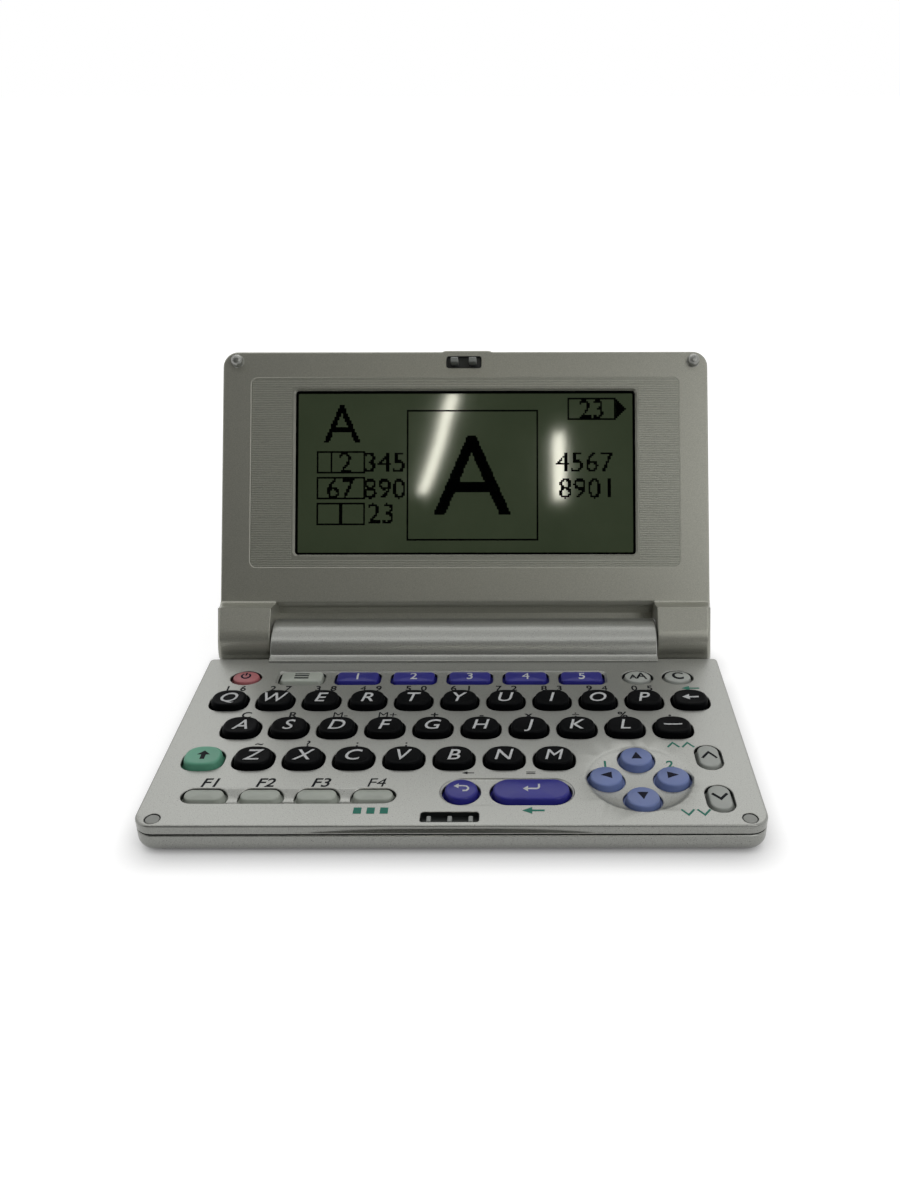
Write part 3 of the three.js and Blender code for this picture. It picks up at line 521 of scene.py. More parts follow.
class Finish:
    """A Principled material whose colour, roughness and bump come from noise on the piece."""

    def __init__(self, name, roughness=0.4, metallic=0.0, specular=0.5):
        self.material = bpy.data.materials.new(name)
        self.material.use_nodes = True
        self.tree = self.material.node_tree
        self.shader = self.tree.nodes["Principled BSDF"]
        values = {"Roughness": roughness, "Metallic": metallic, "Specular IOR Level": specular}
        for socket, value in values.items():
            self.shader.inputs[socket].default_value = value
        self.where = self.node("ShaderNodeTexCoord").outputs["Object"]

    def node(self, kind, **values):
        made = self.tree.nodes.new(kind)
        for key, value in values.items():
            setattr(made, key, value)
        return made

    def link(self, source, target):
        self.tree.links.new(source, target)

    def noise(self, scale, detail=2.0, stretch=(1, 1, 1)):
        """Noise with this many waves to the metre."""
        place = self.node("ShaderNodeMapping")
        place.inputs["Scale"].default_value = stretch
        self.link(self.where, place.inputs["Vector"])
        made = self.node("ShaderNodeTexNoise")
        made.inputs["Scale"].default_value = scale
        made.inputs["Detail"].default_value = detail
        self.link(place.outputs["Vector"], made.inputs["Vector"])
        return made.outputs["Fac"]

    def ramp(self, factor, *stops):
        made = self.node("ShaderNodeValToRGB")
        self.link(factor, made.inputs["Fac"])
        elements = made.color_ramp.elements
        while len(elements) < len(stops):
            elements.new(1.0)
        for element, (position, value) in zip(elements, stops):
            element.position = position
            element.color = value
        return made.outputs["Color"]

    def blend(self, factor, first, second):
        """Two colours mixed by a factor; each of the three is a value or an output."""
        made = self.node("ShaderNodeMix", data_type="RGBA")
        sockets = made.inputs["Factor"], made.inputs[6], made.inputs[7]
        for value, socket in zip((factor, first, second), sockets):
            if isinstance(value, (tuple, float)):
                socket.default_value = value
            else:
                self.link(value, socket)
        return made.outputs[2]

    def roughen(self, factor, low, high):
        made = self.node("ShaderNodeMapRange")
        made.inputs["To Min"].default_value = low
        made.inputs["To Max"].default_value = high
        self.link(factor, made.inputs["Value"])
        self.link(made.outputs["Result"], self.shader.inputs["Roughness"])

    def bump(self, height, distance):
        made = self.node("ShaderNodeBump")
        made.inputs["Distance"].default_value = distance
        self.link(height, made.inputs["Height"])
        self.link(made.outputs["Normal"], self.shader.inputs["Normal"])

    def paint(self, source):
        self.link(source, self.shader.inputs["Base Color"])

    def mottle(self, factor, dark, light, edge=0.3):
        """The colour goes from dark to light with a factor."""
        self.paint(self.ramp(factor, (edge, dark), (1 - edge, light)))


def shade(tone, share):
    return (tone[0] * share, tone[1] * share, tone[2] * share, 1.0)


def silver_paint(name, tone, metallic=0.4, roughness=0.29):
    """Moulded plastic under a silver lacquer with fine flakes."""
    finish = Finish(name, metallic=metallic)
    flakes = finish.noise(5200, 1.0)
    cloud = finish.noise(45, 3.0)
    base = finish.ramp(flakes, (0.32, shade(tone, 0.86)), (0.68, shade(tone, 1.14)))
    finish.paint(finish.blend(cloud, base, finish.blend(0.35, base, shade(tone, 0.9))))
    finish.roughen(flakes, roughness, roughness + 0.12)
    finish.bump(finish.noise(2600, 2.0), 0.00001)
    return finish.material


def key_plastic(name, tone, roughness=0.32, specular=0.5):
    """Satin moulded plastic: a fine grain, and tops worn a little smoother in patches."""
    finish = Finish(name, specular=specular)
    grain = finish.noise(4200, 2.0)
    wear = finish.noise(160, 2.0)
    finish.mottle(wear, shade(tone, 0.92), shade(tone, 1.08))
    finish.roughen(wear, roughness - 0.05, roughness + 0.1)
    finish.bump(grain, 0.000012)
    return finish.material


def plain_print(name, tone, roughness=0.55, specular=0.3):
    """Screen-printed ink, a little uneven in cover."""
    finish = Finish(name, roughness=roughness, specular=specular)
    finish.mottle(finish.noise(3000), shade(tone, 0.9), shade(tone, 1.1), 0.25)
    return finish.material


# The deck's and the lid's lacquer are one silver paint in two tones: the lid's copy is lighter and warmer,
# painted warm room light on the lid
silver = silver_paint("silver_lacquer", colour(159, 160, 155), 0.5, 0.24)
lid_silver_painted_warm_light = silver_paint("lid_lacquer", colour(174, 174, 163))
film = silver_paint("film_ground", colour(160, 161, 150), 0.3)
# The ribs' copy of the film paint is lighter than the ground between them: a painted highlight on the rib
# tops
film_ridge = silver_paint("film_ridge", colour(184, 185, 174), 0.3)
# Near-black plastic: bare plastic inside the shells, and painted shade on the walls of the key holes, the
# latch pocket and slot, the pad wells and the window
latch_dark = key_plastic("latch_dark", colour(22, 26, 24), 0.4)
post_grey = key_plastic("post_grey", colour(150, 154, 150))
pad_grey = key_plastic("pad_grey", colour(168, 170, 165), 0.5)
black = key_plastic("black_plastic", colour(9, 10, 12), 0.36, 0.03)
blue = key_plastic("blue_plastic", colour(44, 43, 148), 0.32, 0.35)
periwinkle = key_plastic("periwinkle_plastic", colour(118, 136, 192), 0.4)
green = key_plastic("green_plastic", colour(104, 178, 148), 0.4)
red = key_plastic("red_plastic", colour(190, 112, 116), 0.4)
pale = key_plastic("pale_plastic", colour(190, 196, 186), 0.4)
grey = key_plastic("grey_plastic", colour(186, 190, 184), 0.42)
dark_ink = plain_print("dark_ink", colour(16, 18, 22), 0.6, 0.1)
white_ink = plain_print("white_ink", colour(226, 228, 229))
navy_ink = plain_print("navy_ink", colour(14, 16, 34), 0.6, 0.1)
green_ink = plain_print("green_ink", colour(38, 122, 104))
rubber = key_plastic("foot_rubber", colour(46, 47, 48), 0.6)
screw_finish = Finish("screw_steel", metallic=1.0, roughness=0.3)
screw_finish.mottle(screw_finish.noise(3000), colour(150, 152, 156), colour(185, 187, 190))
screw_steel = screw_finish.material


def display_surface():
    """The liquid crystal's backing: dark green, faintly banded, and slightly warped glass over it."""
    finish = Finish("display_backing", roughness=0.06, specular=0.6)
    bands = finish.noise(16, 1.0, (1, 0.05, 0.05))
    mottle = finish.noise(70, 3.0)
    base = finish.ramp(bands, (0.3, colour(80, 92, 68)), (0.7, colour(93, 106, 79)))
    patches = finish.ramp(mottle, (0.3, colour(73, 87, 64)), (0.7, colour(95, 106, 82)))
    finish.paint(finish.blend(0.3, base, patches))
    finish.bump(finish.noise(22, 1.0), 0.0003)
    return finish.material


display_backing = display_surface()
display_ink = plain_print("display_ink", colour(2, 3, 3), 0.9, 0.0)

# Numbers of the further finishes in the lists of the case's pieces and of the lid's face; the dark one is
# bare plastic inside the shells, and painted shade in the holes, gaps, wells and pockets
CASE_BARE_PLASTIC_AND_SHADE = 1
LID_FILM = 1
LID_BARE_PLASTIC_AND_SHADE = 2


# Keyboard case

def front(setback):
    return FRONT + setback


def deck_outline(inset, dent=0.0):
    """The deck's outline, with extra points on the front where the finger recess dents it."""
    left, right = LEFT + inset, RIGHT - inset
    front_radius = CORNER_RADIUS - inset
    rear_radius = max(DECK_REAR_RADIUS - inset, DECK_REAR_RADIUS / 4)
    rear = DECK_REAR - inset
    low = FRONT + inset
    points = arc(left + front_radius, low + front_radius, front_radius, 2 * QUARTER, 3 * QUARTER, 12)
    for i in range(FINGER_POINTS + 1):
        share = 2 * i / FINGER_POINTS - 1
        points.append((FINGER_HALF_WIDTH * share, low + dent * (1 - share * share)))
    points += arc(right - front_radius, low + front_radius, front_radius, 3 * QUARTER, 4 * QUARTER, 12)
    points += arc(right - rear_radius, rear - rear_radius, rear_radius, 0, QUARTER, 6)
    return points + arc(left + rear_radius, rear - rear_radius, rear_radius, QUARTER, 2 * QUARTER, 6)


KEY_KINDS = {
    "power": "oval", "menu": "block", "text_size": "oval", "clear": "oval",
    "lookup": "pill", "jump": "pill", "guide": "pill", "bookmark": "pill",
    "back": "round", "enter": "bar", "up": "cursor", "left": "cursor", "right": "cursor",
    "down": "cursor", "page_up": "page", "page_down": "page",
}


class Key:
    """A key's place and size, read from its node."""

    def __init__(self, node):
        low, high = corners(node)
        self.node = node
        self.name = node.removeprefix("key_")
        self.x = (low.x + high.x) / 2
        self.y = (low.y + high.y) / 2
        self.width = high.x - low.x - 2 * KEY_FLANGE
        self.depth = high.y - low.y - 2 * KEY_FLANGE
        self.low = low.z
        self.top = high.z
        if self.name.startswith("dictionary"):
            self.kind = "block"
        else:
            self.kind = KEY_KINDS.get(self.name, "letter")

    def outline(self, grow=0.0):
        width, depth = self.width + 2 * grow, self.depth + 2 * grow
        if self.kind == "letter":
            points = superellipse(width, depth, LETTER_FRONT_POWER, LETTER_REAR_POWER)
        elif self.kind in ("oval", "round", "cursor"):
            points = superellipse(width, depth, 2, 2)
        else:
            radius = BLOCK_CORNER + grow if self.kind == "block" else min(width, depth) * FULL_ROUND
            points = slab(-width / 2, width / 2, -depth / 2, depth / 2, radius, 10)
        return moved(points, self.x, self.y)


keys = [Key(node) for node in sorted(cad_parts) if node.startswith("key_") and node != "key_mat"]
key_named = {key.name: key for key in keys}


def around(names, margin):
    """Left, right, front and rear of a group of keys, with a margin."""
    group = [key_named[name] for name in names]
    return (
        min(key.x - key.width / 2 for key in group) - margin,
        max(key.x + key.width / 2 for key in group) + margin,
        min(key.y - key.depth / 2 for key in group) - margin,
        max(key.y + key.depth / 2 for key in group) + margin,
    )


SUBJECTS = ["menu", *(f"dictionary_{i}" for i in range(1, 6))]
PILLS = ["lookup", "jump", "guide", "bookmark"]
CURSORS = ["up", "left", "right", "down"]
ENTRY = ["back", "enter"]


def channel_outline(names, grow):
    left, right, low, high = around(names, CHANNEL_MARGIN + grow)
    radius = (high - low) * FULL_ROUND if names is ENTRY else CHANNEL_CORNER + grow
    return slab(left, right, low, high, radius)


cursor_left, cursor_right, cursor_low, cursor_high = around(CURSORS, DISH_MARGIN)
DISH_X = (cursor_left + cursor_right) / 2
DISH_Y = (cursor_low + cursor_high) / 2
DISH_RADIUS = (cursor_right - cursor_left) / 2
LATCH_POCKET = (LATCH_CENTRE - POCKET_HALF_WIDTH, LATCH_CENTRE + POCKET_HALF_WIDTH,
                front(POCKET_FRONT), front(POCKET_FRONT + POCKET_DEPTH))
PAD_PLACES = [(x, front(PAD_SETBACK)) for x in (LEFT + STUD_SIDE_INSET, RIGHT - STUD_SIDE_INSET)]


def dish_height(x, y):
    """The cursor keys' recess: a shallow bowl with a soft rim."""
    share = min(math.hypot(x - DISH_X, y - DISH_Y) / DISH_RADIUS, 1.0)
    return DECK - DISH_DROP * (1 - share ** DISH_POWER) ** DISH_EDGE


def pill_channel_height(x, y):
    """The pills' channel: it fades out at the row's ends and falls to a sharp edge at its front."""
    left, right, low, high = around(PILLS, CHANNEL_MARGIN)
    reach = min(x - left, right - x) / key_named[PILLS[0]].width
    fade = min(max((reach - PILL_FADE_START) / PILL_FADE, 0), 1)
    fall = min(max((high - y) / (high - low), 0), 1)
    bowl = 1 - abs(2 * fall ** PILL_SLANT - 1) ** DISH_POWER
    return DECK - PILL_SINK - PILL_CHANNEL_DROP * fade * bowl


def dish_points():
    """Points over the bowl, clear of its keys' holes."""
    cursor_keys = [key_named[name] for name in CURSORS]
    points = []
    for i in range(1, DISH_RINGS):
        for x, y in circle(DISH_X, DISH_Y, DISH_RADIUS * i / DISH_RINGS, 8 + 3 * i):
            reach = min(math.hypot(x - key.x, y - key.y) - key.width / 2 for key in cursor_keys)
            if reach > KEY_CLEARANCE + HOLE_BEVEL + BOWL_SPACING:
                points.append((x, y))
    return points


def cut_holes(shape, group, height):
    """Bevelled holes for keys; returns their rings at the deck's top and at its underside."""
    tops, bottoms = [], []
    for key in group:
        level = height if callable(height) else (lambda x, y, z=height: z)
        rim = shape.ring(key.outline(KEY_CLEARANCE + HOLE_BEVEL), level)
        lip = shape.ring(key.outline(KEY_CLEARANCE), lambda x, y: level(x, y) - HOLE_BEVEL)
        bottom = shape.ring(key.outline(KEY_CLEARANCE), DECK - DECK_THICKNESS)
        shape.join(rim, lip)
        # The hole's wall below its bevel is dark: bare plastic, and painted shade in the gap round the key
        shape.join(lip, bottom, finish=CASE_BARE_PLASTIC_AND_SHADE)
        tops.append(rim)
        bottoms.append(bottom)
    return tops, bottoms


def make_deck():
    shape = Shape()
    levels = [shape.ring(deck_outline(inset), DECK - drop)
              for inset, drop in quarter_turn(TOP_EDGE_RADIUS, 5)]
    finger_low = FINGER_TOP + FINGER_HEIGHT
    for drop, dent in ((FINGER_TOP, 0), (FINGER_TOP + FINGER_EDGE, FINGER_DEPTH),
                       (finger_low - FINGER_EDGE, FINGER_DEPTH), (finger_low, 0)):
        levels.append(shape.ring(deck_outline(0, dent), DECK - drop))
    for inset, z in ((0, PARTING + RIM_EDGE), (RIM_EDGE, PARTING), (CASE_WALL, PARTING),
                     (CASE_WALL, DECK - DECK_THICKNESS)):
        levels.append(shape.ring(deck_outline(inset), z))
    shape.join(*levels[:-2])
    # The shell's inner wall and underside are dark: bare plastic inside, and painted shade seen through the
    # gaps
    shape.join(*levels[-3:], finish=CASE_BARE_PLASTIC_AND_SHADE)
    top_holes, under_holes = [], []

    def recess(rings, names, height, inside=()):
        """A recess down to its floor, with the holes of its keys in the floor."""
        shape.join(*rings)
        tops, bottoms = cut_holes(shape, [key_named[name] for name in names], height)
        shape.fill(rings[-1], tops, inside, height)
        top_holes.append(rings[0])
        under_holes.extend(bottoms)

    rim = shape.ring(channel_outline(PILLS, PILL_RIM), DECK)
    recess([rim, shape.ring(channel_outline(PILLS, 0), pill_channel_height)], PILLS, pill_channel_height)
    for names in (SUBJECTS, ENTRY):
        rings = [shape.ring(channel_outline(names, CHANNEL_SLOPE * across), DECK - CHANNEL_DROP * down)
                 for across, down in CHANNEL_STEPS]
        recess(rings, names, DECK - CHANNEL_DROP)
    rim = shape.ring(circle(DISH_X, DISH_Y, DISH_RADIUS, 72), dish_height)
    recess([rim], CURSORS, dish_height, dish_points())

    channelled = {*PILLS, *SUBJECTS, *ENTRY, *CURSORS}
    tops, bottoms = cut_holes(shape, [key for key in keys if key.name not in channelled], DECK)
    top_holes += tops
    under_holes += bottoms
    # The pads' wells are dark below their bevel: painted shade in the gap round each pad
    for x, y in PAD_PLACES:
        rings = [shape.ring(circle(x, y, PAD_RADIUS + PAD_GAP + grow), DECK - drop)
                 for grow, drop in PAD_WELL]
        top_holes.append(shape.well(rings, CASE_BARE_PLASTIC_AND_SHADE))
    # The latch pocket's walls and floor are dark: painted shade in the pocket
    rings = [shape.ring(grown(LATCH_POCKET, grow, POCKET_CORNER, 4), DECK - drop)
             for grow, drop in ((POCKET_BEVEL, 0), (0, POCKET_BEVEL), (0, POCKET_DROP))]
    top_holes.append(shape.well(rings, CASE_BARE_PLASTIC_AND_SHADE))

    left, right, low, high = LATCH_POCKET
    outline = slab(left - POCKET_WALL, right + POCKET_WALL, max(low - POCKET_WALL, FRONT + CASE_WALL + 0.05),
                   high + POCKET_WALL, POCKET_CORNER, 4)
    under_pocket = [shape.ring(outline, DECK - drop) for drop in (DECK_THICKNESS, POCKET_DROP + POCKET_FLOOR)]
    shape.join(*under_pocket)
    shape.fill(under_pocket[-1])
    under_holes.append(under_pocket[0])
    shape.fill(levels[0], top_holes)
    shape.fill(levels[-1], under_holes)
    shape.piece("deck", "keyboard_case", silver, latch_dark, replaces=["upper_case"], slot="silver_paint")


def make_latch_posts():
    low, high = LATCH_POCKET[2:]
    for side in (-1, 0, 1):
        x = LATCH_CENTRE + side * POST_SPREAD
        post = block(x - POST_HALF_WIDTH, x + POST_HALF_WIDTH, low + POST_FRONT_GAP, high - POST_REAR_GAP,
                     DECK - POCKET_DROP - ROOT, DECK - POST_DROP, POST_BEVEL)
        post.piece(f"latch_post_{side + 2}", "keyboard_case", post_grey, slot="grey_key")


def make_pads():
    for number, (x, y) in enumerate(PAD_PLACES, 1):
        pad = Shape()
        pad.stack(*(pad.ring(circle(x, y, PAD_RADIUS - inset), DECK - drop) for inset, drop in PAD_PROFILE))
        pad.piece(f"stop_pad_{number}", "keyboard_case", pad_grey, slot="grey_key")


def barrel_profile():
    """Seen along the hinge: the arch, and the lip that its front edge lays on the deck."""
    centre_y, centre_z = HINGE.y - ARCH_FORWARD, DECK - ARCH_DROP
    start = math.asin((PARTING - centre_z) / ARCH_RADIUS)
    foot = math.pi - math.asin((LIP_BACK_RISE + ARCH_DROP) / ARCH_RADIUS)
    arch = arc(centre_y, centre_z, ARCH_RADIUS, start, foot, 40)
    lip = DECK_REAR - LIP_OVERLAP
    heel = Vector(arch[-1])
    tip = Vector((lip, DECK + LIP_FRONT_RISE))
    curve = bow(heel, (heel.x - 0.5, DECK + LIP_BACK_RISE * 0.72), tip, 9)[1:-1]
    nose = arc(lip + LIP_NOSE, DECK + LIP_FRONT_RISE - LIP_NOSE, LIP_NOSE, QUARTER, 2 * QUARTER, 4)
    root = DECK_REAR - LIP_ROOT
    return [*arch, *curve, *nose, (lip, DECK - LIP_SINK), (root, DECK - LIP_SINK), (root, PARTING)]


def make_barrel():
    profile = barrel_profile()
    centre = (HINGE.y - ARCH_FORWARD, DECK - ARCH_DROP)
    half = [(BARREL_HALF - drop, inset) for drop, inset in quarter_turn(BARREL_END_RADIUS, 4)]
    stations = sorted(half + [(-x, inset) for x, inset in half], key=lambda station: station[0])
    shape = Shape()
    shape.run(profile, *(shape.ring_across(pulled(profile, centre, inset), x) for x, inset in stations))
    shape.piece("barrel", "keyboard_case", silver, slot="silver_paint")


def tray_outline(inset):
    return grown((LEFT, RIGHT, FRONT, REAR), -inset, CORNER_RADIUS - inset, 14)


def tray_levels(shape):
    """Rings from the tray's underside up round its lower edge."""
    return [shape.ring(tray_outline(inset), FOOT_HEIGHT + drop)
            for inset, drop in quarter_turn(BOTTOM_EDGE_RADIUS, 10)]


def screw_places():
    return [(x, y) for x in (LEFT + SCREW_SIDE_INSET, RIGHT - SCREW_SIDE_INSET)
            for y in (front(SCREW_END_INSET), front(DECK_DEPTH - SCREW_END_INSET))]


def make_lower_case():
    shape = Shape()
    levels = tray_levels(shape)
    for inset, z in ((0, LOWER_RIM - RIM_EDGE), (RIM_EDGE, LOWER_RIM), (CASE_WALL, LOWER_RIM),
                     (CASE_WALL, FLOOR)):
        levels.append(shape.ring(tray_outline(inset), z))
    shape.join(*levels[:-2])
    shape.fill(levels[0])
    # The tray's inner wall is dark: bare plastic inside, and painted shade
    shape.join(*levels[-3:], finish=CASE_BARE_PLASTIC_AND_SHADE)
    shape.fill(levels[-1])
    tray = loose(shape, silver, latch_dark)

    low, high = HINGE.z - KNUCKLE_RADIUS - SCOOP_GAP, LOWER_RIM + BEYOND
    scoop = [(DECK_REAR, high), (DECK_REAR, low + SCOOP_CHAMFER), (DECK_REAR + SCOOP_CHAMFER, low),
             (REAR + BEYOND, low), (REAR + BEYOND, high)]
    tools = [loose(bar(scoop, BARREL_HALF, RIGHT + BEYOND)), loose(bar(scoop, LEFT - BEYOND, -BARREL_HALF))]
    for x, y in screw_places():
        tools.append(loose(prism(circle(x, y, SCREW_WELL_RADIUS, 32), -BEYOND, FOOT_HEIGHT + 0.5)))
    bay_left, bay_right = cover_low.x + COVER_RAIL - COVER_GAP, cover_high.x - COVER_RAIL + COVER_GAP
    tools.append(loose(block(bay_left, bay_right, cover_low.y - COVER_GAP, REAR + BEYOND,
                             -BEYOND, cover_high.z + COVER_GAP)))
    cut(tray, *tools)
    dress_solid(tray, "tray", "keyboard_case", ["lower_case"])


def make_feet():
    places = [(x, y) for x in (LEFT + FOOT_SIDE_INSET, RIGHT - FOOT_SIDE_INSET)
              for y in (front(FOOT_FRONT_INSET), REAR - FOOT_REAR_INSET)]
    for number, (x, y) in enumerate(places, 1):
        foot = Shape()
        levels = [*quarter_turn(FOOT_EDGE, 4), (0, FOOT_HEIGHT + ROOT)]
        foot.stack(*(foot.ring(circle(x, y, FOOT_RADIUS - inset, 48), z) for inset, z in levels))
        foot.piece(f"foot_{number}", "keyboard_case", rubber, slot="rubber_mat")


def make_screws():
    for number, (x, y) in enumerate(screw_places(), 1):
        head = Shape()
        head.stack(*(head.ring(circle(x, y, SCREW_RADIUS - inset, 32), FOOT_HEIGHT + SCREW_LIFT + rise)
                     for inset, rise in SCREW_PROFILE))
        made = loose(head, screw_steel)
        arms = ((CROSS_HALF_LENGTH, CROSS_HALF_WIDTH), (CROSS_HALF_WIDTH, CROSS_HALF_LENGTH))
        cut(made, *(loose(block(x - a, x + a, y - b, y + b, 0, FOOT_HEIGHT + 0.4)) for a, b in arms))
        dress_solid(made, f"screw_{number}", "keyboard_case")


def make_battery_cover():
    shape = Shape()
    shape.stack(*tray_levels(shape), shape.ring(tray_outline(0), LOWER_RIM))
    body = loose(shape, silver)
    left, right = cover_low.x + COVER_RAIL, cover_high.x - COVER_RAIL
    keep = block(left, right, cover_low.y, REAR + BEYOND, -BEYOND, cover_high.z)
    cut(body, loose(keep), mode="INTERSECT")
    tools = [loose(block(left - BEYOND, right + BEYOND, cover_low.y - BEYOND, REAR - CASE_WALL,
                         FLOOR, LOWER_RIM + BEYOND))]
    middle = (left + right) / 2
    for i in range(GRIP_COUNT):
        y = REAR - GRIP_END_INSET - i * GRIP_PITCH
        tools.append(loose(block(middle - GRIP_HALF_LENGTH, middle + GRIP_HALF_LENGTH, y - GRIP_HALF_WIDTH,
                                 y + GRIP_HALF_WIDTH, -BEYOND, FOOT_HEIGHT + GRIP_DEPTH)))
    cut(body, *tools)
    dress_solid(body, "battery_hatch", "battery_cover", ["battery_cover"])


# Lid

lid_place = Matrix.Translation(HINGE) @ Matrix.Rotation(math.pi - OPEN_ANGLE, 4, "X")
PANEL_RIGHT = RIGHT - PANEL_SIDE_INSET
PANEL_TOP = LID_LENGTH - PANEL_TOP_INSET
WINDOW_RIGHT = RIGHT - WINDOW_SIDE_INSET
WINDOW_TOP = LID_LENGTH - WINDOW_TOP_INSET
SLOT_ALONG = LID_LENGTH - POCKET_FRONT - POCKET_DEPTH / 2
DISPLAY_TOP = LID_FACE - LID_PLATE - 0.2
DISPLAY_BORDER = 0.55
DISPLAY_THICKNESS = 1.8
DISPLAY_CORNER = 0.3


def trough_edge(z):
    return math.sqrt(TROUGH_RADIUS ** 2 - (z - TROUGH_OFFSET) ** 2)


def back_inset(z):
    """How far the lid's rounded back draws in its sides at a level."""
    reach = max(LID_BACK + LID_BACK_RADIUS - z, 0)
    return LID_BACK_RADIUS - math.sqrt(LID_BACK_RADIUS ** 2 - min(reach, LID_BACK_RADIUS) ** 2)


def lid_outline(inset, trough, low=LID_LOW, bump=0.0):
    """The lid's outline at a level: its lower edge follows the trough between the knuckles."""
    side, far = RIGHT - inset, LID_LENGTH - inset
    radius = CORNER_RADIUS - inset
    points = [(-side, low), (-KNUCKLE_INNER, low), (-KNUCKLE_INNER, trough)]
    points += [(KNUCKLE_INNER, trough), (KNUCKLE_INNER, low), (side, low)]
    points += arc(side - radius, far - radius, radius, 0, QUARTER, 12)
    points += bump_points(far, bump)
    return points + arc(-side + radius, far - radius, radius, QUARTER, 2 * QUARTER, 12)


def bump_points(far, height):
    left, right = BUMP_CENTRE - BUMP_HALF_WIDTH, BUMP_CENTRE + BUMP_HALF_WIDTH
    points = []
    for start, end, rising in ((right, right - BUMP_SLOPE, True), (left + BUMP_SLOPE, left, False)):
        for i in range(5):
            t = i / 4
            rise = height * (1 - math.cos(math.pi * t)) / 2
            points.append((start + (end - start) * t, far + (rise if rising else height - rise)))
    return points


def window_outline(grow):
    window = (-WINDOW_RIGHT, WINDOW_RIGHT, WINDOW_BOTTOM, WINDOW_TOP)
    return grown(window, grow, WINDOW_CORNER + grow, 6)


def panel_outline(grow):
    return grown((-PANEL_RIGHT, PANEL_RIGHT, PANEL_BOTTOM, PANEL_TOP), grow, PANEL_CORNER + grow)


def make_lid_frame():
    shape = Shape(lid_place)

    def ring(inset, z, low=LID_LOW, bump=BUMP_HEIGHT):
        return shape.ring(lid_outline(inset, trough_edge(z) + inset, low, bump), z)

    levels = [ring(inset, LID_FACE - drop) for inset, drop in quarter_turn(LID_FACE_RADIUS, 5)]
    levels.append(ring(0, LID_SEAM + RIM_EDGE))
    levels.append(ring(RIM_EDGE, LID_SEAM))
    inner_low = LID_LOW + LID_WALL
    levels += [ring(LID_WALL, z, inner_low, 0) for z in (LID_SEAM, LID_FACE - LID_PLATE)]
    shape.join(*levels)

    panel = [shape.ring(panel_outline(-inset), LID_FACE - drop)
             for inset, drop in ((0, 0), (PANEL_EDGE, PANEL_RECESS))]
    shape.join(*panel)
    steps = ((WINDOW_BEVEL, 0), (WINDOW_BEVEL * 0.9, 0.05), (0.06, 0.55), (0, 0.62),
             (0, LID_PLATE - PANEL_RECESS))
    window = [shape.ring(window_outline(grow), LID_FACE - PANEL_RECESS - drop) for grow, drop in steps]
    shape.fill(panel[-1], [window[0]], finish=LID_FILM)
    shape.join(*window[:-1])
    # The window's wall below its bevel is dark: painted shade at the edge of the display
    shape.join(*window[-2:], finish=LID_BARE_PLASTIC_AND_SHADE)

    # The latch slot's walls and floor are dark: painted shade in the slot
    slot = (LATCH_CENTRE - SLOT_HALF_WIDTH, LATCH_CENTRE + SLOT_HALF_WIDTH,
            SLOT_ALONG - SLOT_HALF_HEIGHT, SLOT_ALONG + SLOT_HALF_HEIGHT)
    rings = [shape.ring(grown(slot, grow, POCKET_CORNER, 4), LID_FACE - drop)
             for grow, drop in ((SLOT_BEVEL, 0), (0, POCKET_BEVEL), (0, SLOT_DROP))]
    shape.fill(levels[0], [panel[0], shape.well(rings, LID_BARE_PLASTIC_AND_SHADE)])
    shape.fill(levels[-1], [window[-1]])
    shape.piece("lid_face", "lid", lid_silver_painted_warm_light, film, latch_dark, replaces=["lid_frame"], slot="silver_paint")


def make_stripes():
    """The film's raised stripes, stopped at its rounded corners and at the window."""
    shape = Shape(lid_place)
    ground = LID_FACE - PANEL_RECESS
    gap = WINDOW_RIGHT + WINDOW_BEVEL + RIDGE_MARGIN
    clear = WINDOW_BEVEL + RIDGE_MARGIN
    low = PANEL_BOTTOM + RIDGE_MARGIN
    while low + RIDGE_WIDTH < PANEL_TOP - RIDGE_MARGIN:
        high = low + RIDGE_WIDTH
        middle = low + RIDGE_WIDTH / 2
        corner = PANEL_CORNER - min(PANEL_CORNER, middle - PANEL_BOTTOM, PANEL_TOP - middle)
        reach = PANEL_RIGHT - RIDGE_MARGIN - (PANEL_CORNER - math.sqrt(PANEL_CORNER ** 2 - corner ** 2))
        if WINDOW_BOTTOM - clear < high and low < WINDOW_TOP + clear:
            runs = ((-reach, -gap), (gap, reach))
        else:
            runs = ((-reach, reach),)
        for x0, x1 in runs:
            rings = []
            for inset, z in ((0, ground - RIDGE_SINK), (RIDGE_RISE, ground + RIDGE_RISE)):
                left, right, near, far = x0 + inset, x1 - inset, low + inset, high - inset
                rings.append(shape.ring([(left, near), (right, near), (right, far), (left, far)], z))
            shape.join(*rings)
            shape.face(*rings[1])
            shape.face(*reversed(rings[0]))
        low += RIDGE_PITCH
    shape.piece("film_stripes", "lid", film_ridge, slot="silver_paint")


